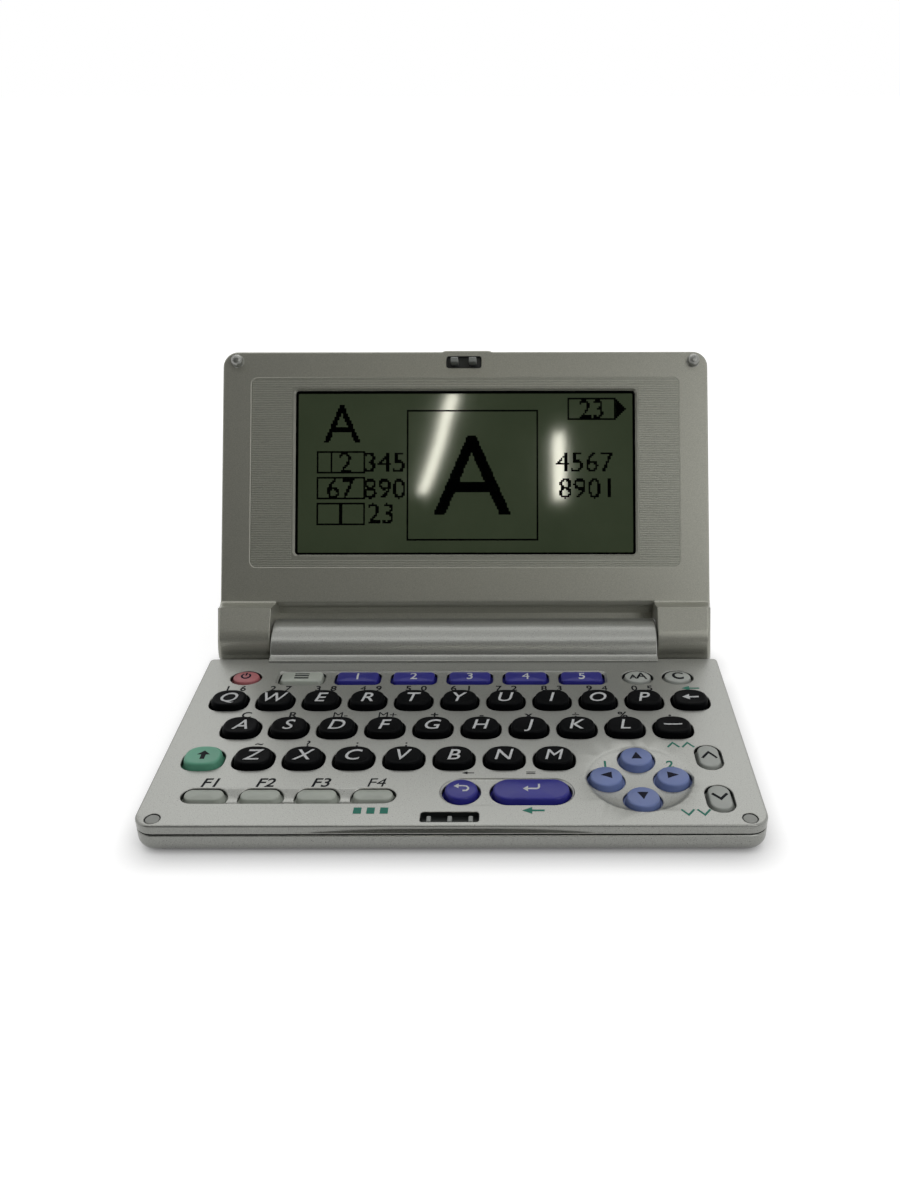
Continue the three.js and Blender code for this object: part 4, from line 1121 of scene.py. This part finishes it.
def make_lid_cover():
    shape = Shape(lid_place)
    low = LID_LOW + LID_SEAM - LID_COVER_SEAM

    def ring(inset, rise, trough):
        return shape.ring(lid_outline(inset, trough, low), LID_BACK + rise)

    levels = [ring(back_inset(LID_BACK + rise), rise, trough) for rise, trough in COVER_LIP]
    for rise in COVER_RISES:
        levels.append(ring(back_inset(LID_BACK + rise), rise, trough_edge(LID_BACK + rise)))
    depth = LID_COVER_SEAM - LID_BACK
    trough = trough_edge(LID_COVER_SEAM)
    levels.append(ring(0, depth - RIM_EDGE, trough_edge(LID_COVER_SEAM - RIM_EDGE)))
    levels.append(ring(RIM_EDGE, depth, trough + RIM_EDGE))
    low += LID_WALL
    levels += [ring(LID_WALL, rise, trough + LID_WALL) for rise in (depth, LID_PLATE)]
    shape.stack(*levels)
    shape.piece("lid_back", "lid", lid_silver_painted_warm_light, replaces=["lid_back_cover"], slot="silver_paint")


def knuckle_profile():
    """Seen along the hinge: round about the axis, a flat ramp and a hollow bevel down to the face."""
    angle = math.acos(RAMP_START / KNUCKLE_RADIUS)
    height = KNUCKLE_RADIUS * math.sin(angle)
    fall = (RAMP_END - RAMP_START) / math.tan(angle)
    bevel = bow((LID_LOW, LID_FACE), (RAMP_END + 0.75, LID_FACE + 0.25), (RAMP_END, height - fall), 8)
    return [(LID_LOW, LID_BACK), *bevel, *arc(0, 0, KNUCKLE_RADIUS, angle, 3 * QUARTER, 56)]


def make_knuckles():
    """Rounded at both ends; the outer end leans inwards above the lid's face."""
    profile = knuckle_profile()
    inner = [(KNUCKLE_INNER + drop, inset) for inset, drop in quarter_turn(KNUCKLE_INNER_RADIUS, 3)]
    outer = [(KNUCKLE_OUTER - drop, inset) for inset, drop in quarter_turn(KNUCKLE_END_RADIUS, 8)]
    for side, word in ((-1, "left"), (1, "right")):
        shape = Shape(lid_place)
        rings = []
        for reach, inset in sorted(inner + outer):
            ring = []
            drawn = pulled(profile, (0, 0), inset)
            for (y, z), (near_y, near_z) in zip(profile, drawn):
                share = min(max((LID_LOW - y) / (LID_LOW - RAMP_START), 0), 1)
                x = reach
                if reach > KNUCKLE_OUTER - KNUCKLE_END_RADIUS - 0.01:
                    x -= KNUCKLE_LEAN * max(z - LID_FACE, 0) + back_inset(z)
                ring.append(shape.point(side * x, y + (near_y - y) * share, z + (near_z - z) * share))
            rings.append(ring)
        shape.run(profile, *rings)
        shape.piece(f"knuckle_{word}", "lid", lid_silver_painted_warm_light, slot="silver_paint")


def make_studs():
    for side, word in ((-1, "left"), (1, "right")):
        shape = Shape(lid_place)
        x, y = side * (RIGHT - STUD_SIDE_INSET), LID_LENGTH - STUD_SETBACK
        crown = reversed(quarter_turn(STUD_RADIUS * STUD_CROWN, 8))
        levels = [*STUD_FOOT, *((inset, STUD_HEIGHT - drop) for inset, drop in crown)]
        rings = [shape.ring(circle(x, y, STUD_RADIUS - inset, 36), LID_FACE + rise) for inset, rise in levels]
        shape.join(*rings)
        shape.fill(rings[0])
        shape.close(rings[-1], LID_FACE + STUD_HEIGHT)
        shape.piece(f"corner_stud_{word}", "lid", silver, slot="silver_paint")


def make_hooks():
    for side, word in ((-1, "left"), (1, "right")):
        x = LATCH_CENTRE + side * HOOK_SPREAD
        hook = block(x - HOOK_HALF_WIDTH, x + HOOK_HALF_WIDTH, SLOT_ALONG - HOOK_HALF_HEIGHT,
                     SLOT_ALONG + HOOK_HALF_HEIGHT, LID_FACE - SLOT_DROP - ROOT, LID_FACE + HOOK_TIP,
                     HOOK_BEVEL, lid_place)
        hook.piece(f"latch_hook_{word}", "lid", post_grey, slot="grey_key")


def make_display():
    low, high = corners("lcd_panel")
    shape = Shape(lid_place)
    side = (high.x - low.x) / 2
    beyond = side - WINDOW_RIGHT
    outline = slab(-side, side, WINDOW_BOTTOM - beyond, WINDOW_TOP + beyond, DISPLAY_CORNER, 3)
    shape.stack(*(shape.ring(outline, z) for z in (DISPLAY_TOP - DISPLAY_THICKNESS, DISPLAY_TOP)))
    shape.piece("display", "lid", display_backing, replaces=["lcd_panel"], slot="display_glass")

    mask = Shape(lid_place)
    outer, inner = window_outline(0.4), window_outline(-DISPLAY_BORDER)
    upper = [mask.ring(outline, DISPLAY_TOP + 0.03) for outline in (outer, inner)]
    lower = [mask.ring(outline, DISPLAY_TOP - 0.02) for outline in (outer, inner)]
    mask.join(upper[0], upper[1], lower[1], lower[0], upper[0])
    mask.piece("display_border", "lid", display_ink, slot="display_glass")


# Keys

# For each kind, the radius of the cap's edge and how far its top swells, or is dished where below zero
CAP_SHAPES = {
    "letter": (0.5, -0.22), "block": (0.35, 0.2), "oval": (0.4, 0.25), "pill": (0.4, 0.25),
    "round": (0.5, 0.3), "bar": (0.5, 0.3), "cursor": (0.45, 0.25), "page": (0.35, 0.2),
}
DRAFT = 0.3


def cap_height(key, share):
    """A cap's top at a share of the way from its middle to its edge: swollen, or dished."""
    swell = CAP_SHAPES[key.kind][1]
    return key.top - max(swell, 0) * share ** 2 + min(swell, 0) * (1 - share ** 2)


def cap_inner(key):
    """The outline within a cap's rounded edge."""
    return key.outline(-DRAFT - CAP_SHAPES[key.kind][0])


def make_key(key, finish):
    shape = Shape()
    flange_top = DECK - DECK_THICKNESS - KEY_SEAT
    rings = [shape.ring(key.outline(grow), z)
             for grow, z in ((KEY_FLANGE, key.low), (KEY_FLANGE, flange_top), (0, flange_top))]
    edge = cap_height(key, 1.0)
    for inset, drop in reversed(quarter_turn(CAP_SHAPES[key.kind][0], 6)):
        rings.append(shape.ring(key.outline(-DRAFT - inset), edge - drop))
    inner = cap_inner(key)
    for i in range(1, 7):
        share = 1 - i / 7
        outline = [(key.x + (x - key.x) * share, key.y + (y - key.y) * share) for x, y in inner]
        rings.append(shape.ring(outline, cap_height(key, share)))
    shape.join(*rings)
    shape.fill(rings[0])
    shape.close(rings[-1], cap_height(key, 0))
    shape.piece("cap_" + key.name, key.node, finish, replaces=[key.node])


def cap_surface(key):
    """Height of a cap's top over a point, from how far out the point lies."""
    inner = cap_inner(key)
    sides = []
    for (x0, y0), (x1, y1) in zip(inner, inner[1:] + inner[:1]):
        normal = Vector((y1 - y0, x0 - x1))
        if normal.length > 1e-9:
            normal.normalize()
            sides.append((normal, normal.dot(Vector((x0 - key.x, y0 - key.y)))))

    def height(x, y):
        offset = Vector((x - key.x, y - key.y))
        share = max(normal.dot(offset) / reach for normal, reach in sides)
        return cap_height(key, min(share, 1.0))

    return height


# Lettering and marks: drawings are lists of points and the faces between them

def refined(drawing, limit, scale=1.0):
    """The drawing, scaled, welded and with its long edges split."""
    points, faces = drawing
    work = bmesh.new()
    vertices = [work.verts.new((x * scale, y * scale, 0)) for x, y in points]
    for face in faces:
        corners_of_face = [vertices[i] for i in face]
        if len(set(face)) == len(face) and not work.faces.get(corners_of_face):
            work.faces.new(corners_of_face)
    bmesh.ops.remove_doubles(work, verts=work.verts, dist=1e-4)
    bmesh.ops.triangulate(work, faces=work.faces[:])
    for _ in range(4):
        long = [edge for edge in work.edges if edge.calc_length() > limit]
        if long:
            bmesh.ops.subdivide_edges(work, edges=long, cuts=1)
            bmesh.ops.triangulate(work, faces=work.faces[:])
    work.verts.index_update()
    finer_points = [(v.co.x, v.co.y) for v in work.verts]
    finer_faces = [tuple(v.index for v in face.verts) for face in work.faces]
    work.free()
    return finer_points, finer_faces


def text_mesh(text, slant, weight):
    """A text in the plain font, made bolder by a weight unless an outline would cross itself."""
    curve = bpy.data.curves.new("lettering", "FONT")
    curve.offset = 0 if set(text) & set(THIN_ONLY) else weight
    curve.body = text
    curve.align_x = "CENTER"
    curve.shear = slant
    curve.resolution_u = 4
    holder = linked("lettering", curve)
    bpy.context.view_layer.update()
    flat = evaluated_mesh(holder)
    bpy.data.objects.remove(holder)
    bpy.data.curves.remove(curve)
    return flat


CAP_MEASURE = max(v.co.y for v in text_mesh("H", 0, 0).vertices)


def lettering(text, height, slant=0.0, weight=0.0):
    """A text whose capitals have this height, centred on the origin."""
    flat = text_mesh(text, slant, weight)
    drawing = [(v.co.x, v.co.y) for v in flat.vertices], [tuple(face.vertices) for face in flat.polygons]
    points, faces = refined(drawing, TEXT_STEP, height / CAP_MEASURE)
    bpy.data.meshes.remove(flat)
    left, right = min(x for x, y in points), max(x for x, y in points)
    return moved(points, -(left + right) / 2, -height / 2), faces


def filled(outline):
    """A closed outline as a drawing."""
    faces = tessellate_polygon([[Vector((x, y, 0)) for x, y in outline]])
    return list(outline), [tuple(face) for face in faces]


def joined(*drawings):
    points, faces = [], []
    for part_points, part_faces in drawings:
        start = len(points)
        points += part_points
        faces += [tuple(start + i for i in face) for face in part_faces]
    return points, faces


def turned(drawing, angle):
    points, faces = drawing
    c, s = math.cos(angle), math.sin(angle)
    return [(x * c - y * s, x * s + y * c) for x, y in points], faces


def placed(drawing, x, y):
    return moved(drawing[0], x, y), drawing[1]


def oblong(x0, x1, y0, y1):
    return filled([(x0, y0), (x1, y0), (x1, y1), (x0, y1)])


def stroke(points, width):
    """A line of even width through points, with mitred bends."""
    left, right = [], []
    for i, (x, y) in enumerate(points):
        before = Vector(points[max(i - 1, 0)])
        here = Vector((x, y))
        after = Vector(points[min(i + 1, len(points) - 1)])
        first = (here - before).normalized() if i else (after - here).normalized()
        second = (after - here).normalized() if i < len(points) - 1 else first
        along = (first + second).normalized()
        normal = Vector((-along.y, along.x))
        reach = width / 2 / max(normal.dot(Vector((-first.y, first.x))), 0.3)
        left.append(tuple(here + normal * reach))
        right.append(tuple(here - normal * reach))
    return filled(right + left[::-1])


def arrow(length, height, shaft):
    """An arrow that points left."""
    head = length * 0.45
    half, thin = height / 2, shaft / 2
    left, neck, right = -length / 2, -length / 2 + head, length / 2
    return filled([(left, 0), (neck, -half), (neck, -thin), (right, -thin),
                   (right, thin), (neck, thin), (neck, half)])


def triangle(size):
    """A triangle that points up."""
    return filled([(-size * 0.48, -size / 2), (size * 0.48, -size / 2), (0, size / 2)])


def power_mark():
    ring = arc(0, 0, 0.95, math.radians(125), math.radians(415), 22)
    return joined(stroke(ring, 0.42), oblong(-0.2, 0.2, 0.1, 1.4))


def menu_mark():
    return joined(*(oblong(-1.6, 1.6, y - 0.22, y + 0.22) for y in (-0.85, 0, 0.85)))


def return_mark():
    bend = [(1.5, 1.1), (1.5, 0.1), (1.35, -0.25), (1.0, -0.4), (-0.6, -0.4)]
    return joined(stroke(bend, 0.4), filled([(-1.6, -0.4), (-0.6, -1.2), (-0.6, 0.4)]))


def back_mark():
    bend = [(0.3, -0.95), (1.0, -0.9), (1.35, -0.45), (1.35, 0.0), (1.0, 0.45), (0.4, 0.5), (-0.5, 0.5)]
    return joined(stroke(bend, 0.36), filled([(-1.45, 0.5), (-0.5, -0.25), (-0.5, 1.25)]))


def chevron(up):
    tip = 0.9 if up else -0.9
    return stroke([(-1.45, -tip), (0, tip), (1.45, -tip)], 0.55)


def add_plate(shape, drawing, surface):
    """A drawing as a thin closed plate that follows a surface."""
    points, faces = drawing
    upper = [shape.point(x, y, surface(x, y) + INK_LIFT) for x, y in points]
    lower = [shape.point(x, y, surface(x, y) - INK_SINK) for x, y in points]
    used = set()
    for face in faces:
        a = Vector(points[face[1]]) - Vector(points[face[0]])
        b = Vector(points[face[2]]) - Vector(points[face[0]])
        if abs(a.cross(b)) < 1e-9:
            continue
        if a.cross(b) < 0:
            face = face[::-1]
        shape.face(*(upper[i] for i in face))
        shape.face(*(lower[i] for i in reversed(face)))
        used.update(zip(face, face[1:] + face[:1]))
    for i, j in used:
        if (j, i) not in used:
            shape.face(upper[j], upper[i], lower[i], lower[j])


def print_on(name, body, finish, surface, drawings, place=None):
    shape = Shape(place)
    for drawing in drawings:
        add_plate(shape, drawing, surface)
    loners = [v for v in shape.mesh.verts if not v.link_faces]
    for vertex in loners:
        shape.mesh.verts.remove(vertex)
    shape.piece(name, body, finish, sharp=60)


def key_legend(key):
    """The mark on a key's cap and its ink, or nothing."""
    name = key.name
    if name in LETTERS:
        return lettering(name.upper(), LETTER_HEIGHT, SLANT, 0.006), white_ink
    if name.startswith("dictionary"):
        return placed(lettering(name[-1], NUMBER_HEIGHT, weight=0.01), 0, -0.1), white_ink
    marks = {
        "power": (power_mark(), navy_ink),
        "menu": (menu_mark(), dark_ink),
        "text_size": (joined(placed(lettering("A", 1.5, weight=0.03), -1.1, -0.4),
                             placed(lettering("A", 2.4, weight=SMALL_WEIGHT), 0.8, 0.0)), dark_ink),
        "clear": (lettering("C", 2.6, weight=0.03), dark_ink),
        "backspace": (arrow(3.6, 2.0, 0.5), white_ink),
        "dash": (oblong(-1.9, 1.9, -0.19, 0.19), white_ink),
        "shift": (turned(arrow(2.8, 2.6, 0.9), -math.pi / 2), dark_ink),
        "back": (back_mark(), white_ink),
        "enter": (return_mark(), white_ink),
        "up": (triangle(CURSOR_SIZE), navy_ink),
        "left": (turned(triangle(CURSOR_SIZE), math.pi / 2), navy_ink),
        "right": (turned(triangle(CURSOR_SIZE), -math.pi / 2), navy_ink),
        "down": (turned(triangle(CURSOR_SIZE), math.pi), navy_ink),
        "page_up": (chevron(True), dark_ink),
        "page_down": (chevron(False), dark_ink),
    }
    return marks.get(name)


FINISHES = {"power": red, "menu": pale, "text_size": grey, "clear": grey, "shift": green,
            "back": blue, "enter": blue, "page_up": grey, "page_down": grey,
            **{name: pale for name in PILLS}, **{name: periwinkle for name in CURSORS},
            **{name: blue for name in SUBJECTS[1:]}}


def make_keys():
    for key in keys:
        make_key(key, FINISHES.get(key.name, black))
        legend = key_legend(key)
        if legend:
            drawing, ink = legend
            drawing = refined(drawing, LEGEND_STEP)
            height = cap_surface(key)
            behind = LETTER_SHIFT if key.kind == "letter" else 0
            print_on("legend_" + key.name, key.node, ink, height, [placed(drawing, key.x, key.y + behind)])


def make_deck_prints():
    """Small generic marks printed by the keys."""
    dark, greenish = [], []

    def above(name, drawing, ink, rise, shift=0.0):
        key = key_named[name]
        ink.append(placed(drawing, key.x + shift, key.y + key.depth / 2 + rise))

    for number, name in enumerate("qwertyuiop", 1):
        above(name, lettering(str(number % 10), 1.9, weight=SMALL_WEIGHT), dark, 1.9, -1.6)
        above(name, lettering(str((number + 5) % 10), 1.9, weight=SMALL_WEIGHT), dark, 1.9, 1.8)
    calculator = {"a": "C", "s": "R", "d": "M-", "f": "M+", "g": "+", "h": "-", "j": "x", "l": "%"}
    for name, word in calculator.items():
        above(name, lettering(word, 2.1, weight=SMALL_WEIGHT), dark, 1.8)
    above("k", joined(oblong(-0.75, 0.75, -0.12, 0.12), filled(circle(0, 0.6, 0.2, 12)),
                      filled(circle(0, -0.6, 0.2, 12))), dark, 1.8)
    above("dash", filled(circle(0, 0, 0.3, 16)), dark, 1.5)
    punctuation = {"z": "~", "x": "?", "c": ":", "v": ";"}
    for name, word in punctuation.items():
        above(name, lettering(word, 1.9, weight=SMALL_WEIGHT), dark, 2.0)
    for number, name in enumerate(PILLS, 1):
        above(name, lettering(f"F{number}", 2.6, SLANT, 0.015), dark, 2.1, 0.3)

    dark.append(placed(arrow(2.4, 0.9, 0.24), 2.6, front(16.1)))
    equals = joined(oblong(-0.9, 0.9, 0.14, 0.36), oblong(-0.9, 0.9, -0.36, -0.14))
    dark.append(placed(equals, 14.9, front(16.1)))
    bars = joined(*(oblong(x, x + 1.5, -0.9, 0.9) for x in (-3.4, -0.9, 1.6)))
    greenish.append(placed(bars, -15.0, front(4.45)))
    greenish.append(placed(arrow(4.2, 2.0, 0.5), 15.2, front(4.45)))
    greenish.append(placed(arrow(4.0, 1.8, 0.45), 50.7, front(47.2)))
    for up, setback in ((True, 25.5), (False, 3.9)):
        tip = 0.8 if up else -0.8
        chevrons = joined(*(stroke([(x - 1.2, -tip), (x, tip), (x + 1.2, -tip)], 0.4) for x in (-1.5, 1.5)))
        greenish.append(placed(chevrons, 45.5, front(setback)))
    print_on("deck_prints_dark", "keyboard_case", dark_ink, lambda x, y: DECK, dark)
    print_on("deck_prints_green", "keyboard_case", green_ink, lambda x, y: DECK, greenish)
    dish = [placed(lettering(digit, 2.1, weight=SMALL_WEIGHT), DISH_X + shift, DISH_Y + 5.0)
            for digit, shift in (("1", -6.3), ("2", 6.6))]
    print_on("dish_prints_green", "keyboard_case", green_ink, dish_height, dish)


# What the display shows: plain letters and digits, in rows of dots

def crossing(corner_points, y):
    """Where a line across a triangle enters and leaves it."""
    hits = []
    for (x0, y0), (x1, y1) in zip(corner_points, corner_points[1:] + corner_points[:1]):
        if (y0 > y) != (y1 > y):
            hits.append(x0 + (x1 - x0) * (y - y0) / (y1 - y0))
    return (min(hits), max(hits)) if hits else None


def dotted(drawing):
    """A drawing in square dots, with each row's neighbouring dots as one bar."""
    points, faces = drawing
    pieces = [[points[i] for i in face] for face in faces]
    first = math.floor(min(y for x, y in points) / DOT)
    last = math.ceil(max(y for x, y in points) / DOT)
    bars = []
    for row in range(first, last):
        y = (row + 0.5) * DOT
        cells = set()
        for piece in pieces:
            span = crossing(piece, y)
            if span:
                cells.update(range(math.ceil(span[0] / DOT - 0.5), math.floor(span[1] / DOT - 0.5) + 1))
        for start in sorted(cell for cell in cells if cell - 1 not in cells):
            end = start
            while end in cells:
                end += 1
            bars.append(oblong(start * DOT + DOT_GAP, end * DOT - DOT_GAP, y - DOT_HALF, y + DOT_HALF))
    return bars


def frame_lines(x0, x1, y0, y1, width):
    return joined(oblong(x0, x1, y0, y0 + width), oblong(x0, x1, y1 - width, y1),
                  oblong(x0, x0 + width, y0, y1), oblong(x1 - width, x1, y0, y1))


DISPLAY_TEXTS = [
    # text, height, middle across, middle along
    ("A", 9.2, -30.0, 51.6), ("A", 19.5, 1.65, 39.0), ("23", 4.4, 30.6, 55.2),
    ("12", 4.8, -30.2, 42.2), ("345", 4.8, -19.6, 42.2), ("4567", 4.8, 28.9, 42.2),
    ("67", 4.8, -30.2, 35.8), ("890", 4.8, -19.6, 35.8), ("8901", 4.8, 28.9, 35.8),
    ("1", 4.4, -30.2, 29.6), ("23", 4.8, -20.6, 29.7),
]
DISPLAY_FRAMES = [
    # left, right, low, high
    (-14.2, 17.5, 22.9, 55.0), (24.6, 36.6, 52.4, 58.0),
    (-36.0, -24.4, 39.4, 45.0), (-36.0, -24.4, 33.0, 38.6), (-36.0, -24.4, 27.0, 32.2),
]
FRAME_LINE = 1.01 * DOT


def make_display_content():
    drawings = [placed(lettering(text, height), x, y) for text, height, x, y in DISPLAY_TEXTS]
    drawings += [frame_lines(*box, FRAME_LINE) for box in DISPLAY_FRAMES]
    drawings.append(filled([(36.4, 52.4), (39.2, 55.2), (36.4, 58.0)]))
    bars = [bar for drawing in drawings for bar in dotted(drawing)]
    print_on("display_dots", "lid", display_ink, lambda x, y: DISPLAY_TOP, bars, lid_place)


# Stage, in millimetres
FLOOR_HALF = 3000
FLOOR_LEVEL = -0.01
FLOOR_TONE = (0.35, 0.35, 0.35)
CARD_SIDE = 2200
CARD_LOW, CARD_HIGH = 5, 3200
CARD_Y = -1300
WORLD_LEVEL = 0.16

# The floor's glow by the distance from the origin, the lamps and the camera, in metres
GLOW_RANGE = (("From Min", 0.07), ("From Max", 0.25), ("To Min", 0.86), ("To Max", 1.0))
# How far ambient occlusion darkens the floor's glow round the object: a painted contact shadow, also seen in
# the case's reflections of the floor
PAINTED_CONTACT_SHADOW_REACH = 0.006
STREAK_TONE = (1.0, 0.98, 0.84)
# Place, target, width, height, radiance, and for the strips their direction up and their tone
LAMPS = {
    "rear_ceiling": ((0, 0.75, 0.85), (0, 0, 0), 1.1, 0.8, 0.98),
    "front_ceiling": ((0, -0.28, 1.0), (0, 0, 0), 1.2, 0.08, 2.8),
    "right_box": ((0.4, -0.55, 0.48), (0, 0, 0.03), 0.4, 0.45, 2.5),
    "left_strip": ((-0.0559, -0.4861, 0.5054), (0, 0.035, 0.04), 0.009, 0.088, 24,
                   (0.39, 0.56, 0.73), STREAK_TONE),
    "right_strip": ((0.0555, -0.4996, 0.49), (0, 0.035, 0.04), 0.011, 0.05, 24,
                    (-0.08, 0.603, 0.797), STREAK_TONE),
}
CAMERA_PLACE = (0.0113, -0.21028, 0.1342)
CAMERA_PITCH = math.radians(62.65)
CAMERA_ROLL = math.radians(0.08)
CAMERA_LENS = 32.4
CAMERA_SENSOR = 36
CAMERA_SHIFT = -0.0513


def background_rays(nodes, link):
    """One for rays that show the background as it is: the camera's and those of metal and glass."""
    path = nodes.new("ShaderNodeLightPath")
    seen = path.outputs["Is Camera Ray"]
    for ray in ("Is Glossy Ray", "Is Transmission Ray"):
        either = nodes.new("ShaderNodeMath")
        either.operation = "MAXIMUM"
        link(seen, either.inputs[0])
        link(path.outputs[ray], either.inputs[1])
        seen = either.outputs[0]
    return seen


def staged(name, points, material):
    """A flat sheet, in millimetres, that belongs to the stage."""
    shape = Shape()
    shape.face(*(shape.point(*point) for point in points))
    data = bpy.data.meshes.new(name)
    shape.mesh.to_mesh(data)
    shape.mesh.free()
    data.materials.append(material)
    made = linked(name, data)
    made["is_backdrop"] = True
    return made


def make_stage():
    finish = Finish("floor_white", roughness=0.8, specular=0.1)
    finish.mottle(finish.noise(3), shade(FLOOR_TONE, 0.98), shade(FLOOR_TONE, 1.02))
    away = finish.node("ShaderNodeVectorMath", operation="LENGTH")
    finish.link(finish.where, away.inputs[0])
    glow = finish.node("ShaderNodeMapRange")
    for socket, value in GLOW_RANGE:
        glow.inputs[socket].default_value = value
    finish.link(away.outputs["Value"], glow.inputs["Value"])
    amount = finish.node("ShaderNodeMath", operation="MULTIPLY")
    finish.link(background_rays(finish.tree.nodes, finish.link), amount.inputs[0])
    finish.link(glow.outputs["Result"], amount.inputs[1])
    # Painted contact shadow: ambient occlusion darkens the glow close to the object
    near = finish.node("ShaderNodeAmbientOcclusion")
    near.inputs["Distance"].default_value = PAINTED_CONTACT_SHADOW_REACH
    glow_less_painted_contact_shadow = finish.node("ShaderNodeMath", operation="MULTIPLY")
    finish.link(amount.outputs[0], glow_less_painted_contact_shadow.inputs[0])
    finish.link(near.outputs["AO"], glow_less_painted_contact_shadow.inputs[1])
    finish.shader.inputs["Emission Color"].default_value = (1, 1, 1, 1)
    finish.link(glow_less_painted_contact_shadow.outputs[0], finish.shader.inputs["Emission Strength"])
    signs = ((-1, -1), (1, -1), (1, 1), (-1, 1))
    staged("floor", [(x * FLOOR_HALF, y * FLOOR_HALF, FLOOR_LEVEL) for x, y in signs], finish.material)

    card = Finish("dark_card", roughness=0.9, specular=0.1)
    card.mottle(card.noise(2), colour(88, 88, 88), colour(96, 96, 96))
    sheet = [(-CARD_SIDE, CARD_Y, CARD_LOW), (-CARD_SIDE, CARD_Y, CARD_HIGH),
             (CARD_SIDE, CARD_Y, CARD_HIGH), (CARD_SIDE, CARD_Y, CARD_LOW)]
    staged("dark_card", sheet, card.material).visible_camera = False

    world = bpy.data.worlds.new("studio")
    bpy.context.scene.world = world
    world.use_nodes = True
    tree = world.node_tree
    background = tree.nodes["Background"]
    background.inputs["Color"].default_value = (1, 1, 1, 1)
    level = tree.nodes.new("ShaderNodeMapRange")
    level.inputs["To Min"].default_value = WORLD_LEVEL
    level.inputs["To Max"].default_value = 1.0
    tree.links.new(background_rays(tree.nodes, tree.links.new), level.inputs["Value"])
    tree.links.new(level.outputs["Result"], background.inputs["Strength"])


def add_lamp(name, place, target, width, height, radiance, up=(0, 0, 1), tone=(1, 1, 1)):
    """A soft box that faces a target, its height along the direction given."""
    data = bpy.data.lights.new(name, "AREA")
    data.color = tone
    data.shape = "RECTANGLE"
    data.size = width
    data.size_y = height
    data.energy = radiance * math.pi * width * height
    made = linked(name, data)
    made.location = place
    facing = (Vector(place) - Vector(target)).normalized()
    across = Vector(up).cross(facing).normalized()
    made.rotation_euler = Matrix((across, facing.cross(across), facing)).transposed().to_euler()
    made.visible_camera = False


def make_camera():
    data = bpy.data.cameras.new("camera")
    data.sensor_fit = "VERTICAL"
    data.sensor_height = CAMERA_SENSOR
    data.lens = CAMERA_LENS
    data.shift_x = CAMERA_SHIFT
    data.clip_start = 0.01
    made = linked("camera", data)
    made.location = CAMERA_PLACE
    made.rotation_euler = (CAMERA_PITCH, CAMERA_ROLL, 0)
    bpy.context.scene.camera = made


def carry_over():
    """Finishes for the CAD nodes that stay as they are."""
    steel = Finish("cell_steel", metallic=1.0, roughness=0.28)
    steel.mottle(steel.noise(900, 3.0, (1, 8, 1)), colour(160, 162, 165), colour(192, 193, 196))
    board = Finish("board_green", roughness=0.45)
    board.mottle(board.noise(420, 4.0), colour(34, 92, 60), colour(46, 110, 72), 0.45)
    mat = Finish("mat_rubber", roughness=0.7)
    mat.mottle(mat.noise(600), colour(186, 186, 180), colour(204, 204, 198))
    finishes = {"coin_cell": steel, "hinge_shaft": steel, "circuit_board": board, "key_mat": mat}
    for node, finish in finishes.items():
        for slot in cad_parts[node].material_slots:
            slot.material = finish.material


make_camera()
for lamp, values in LAMPS.items():
    add_lamp(lamp, *values)
make_stage()
carry_over()
make_deck()
make_latch_posts()
make_pads()
make_barrel()
make_lower_case()
make_feet()
make_screws()
make_battery_cover()
make_lid_frame()
make_stripes()
make_lid_cover()
make_knuckles()
make_studs()
make_hooks()
make_display()
make_display_content()
make_keys()
make_deck_prints()

bpy.context.scene.view_settings.view_transform = "Standard"
boxes = {"cad": cad_box, "visual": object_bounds()}
{name: [list(corner) for corner in box] for name, box in boxes.items()}
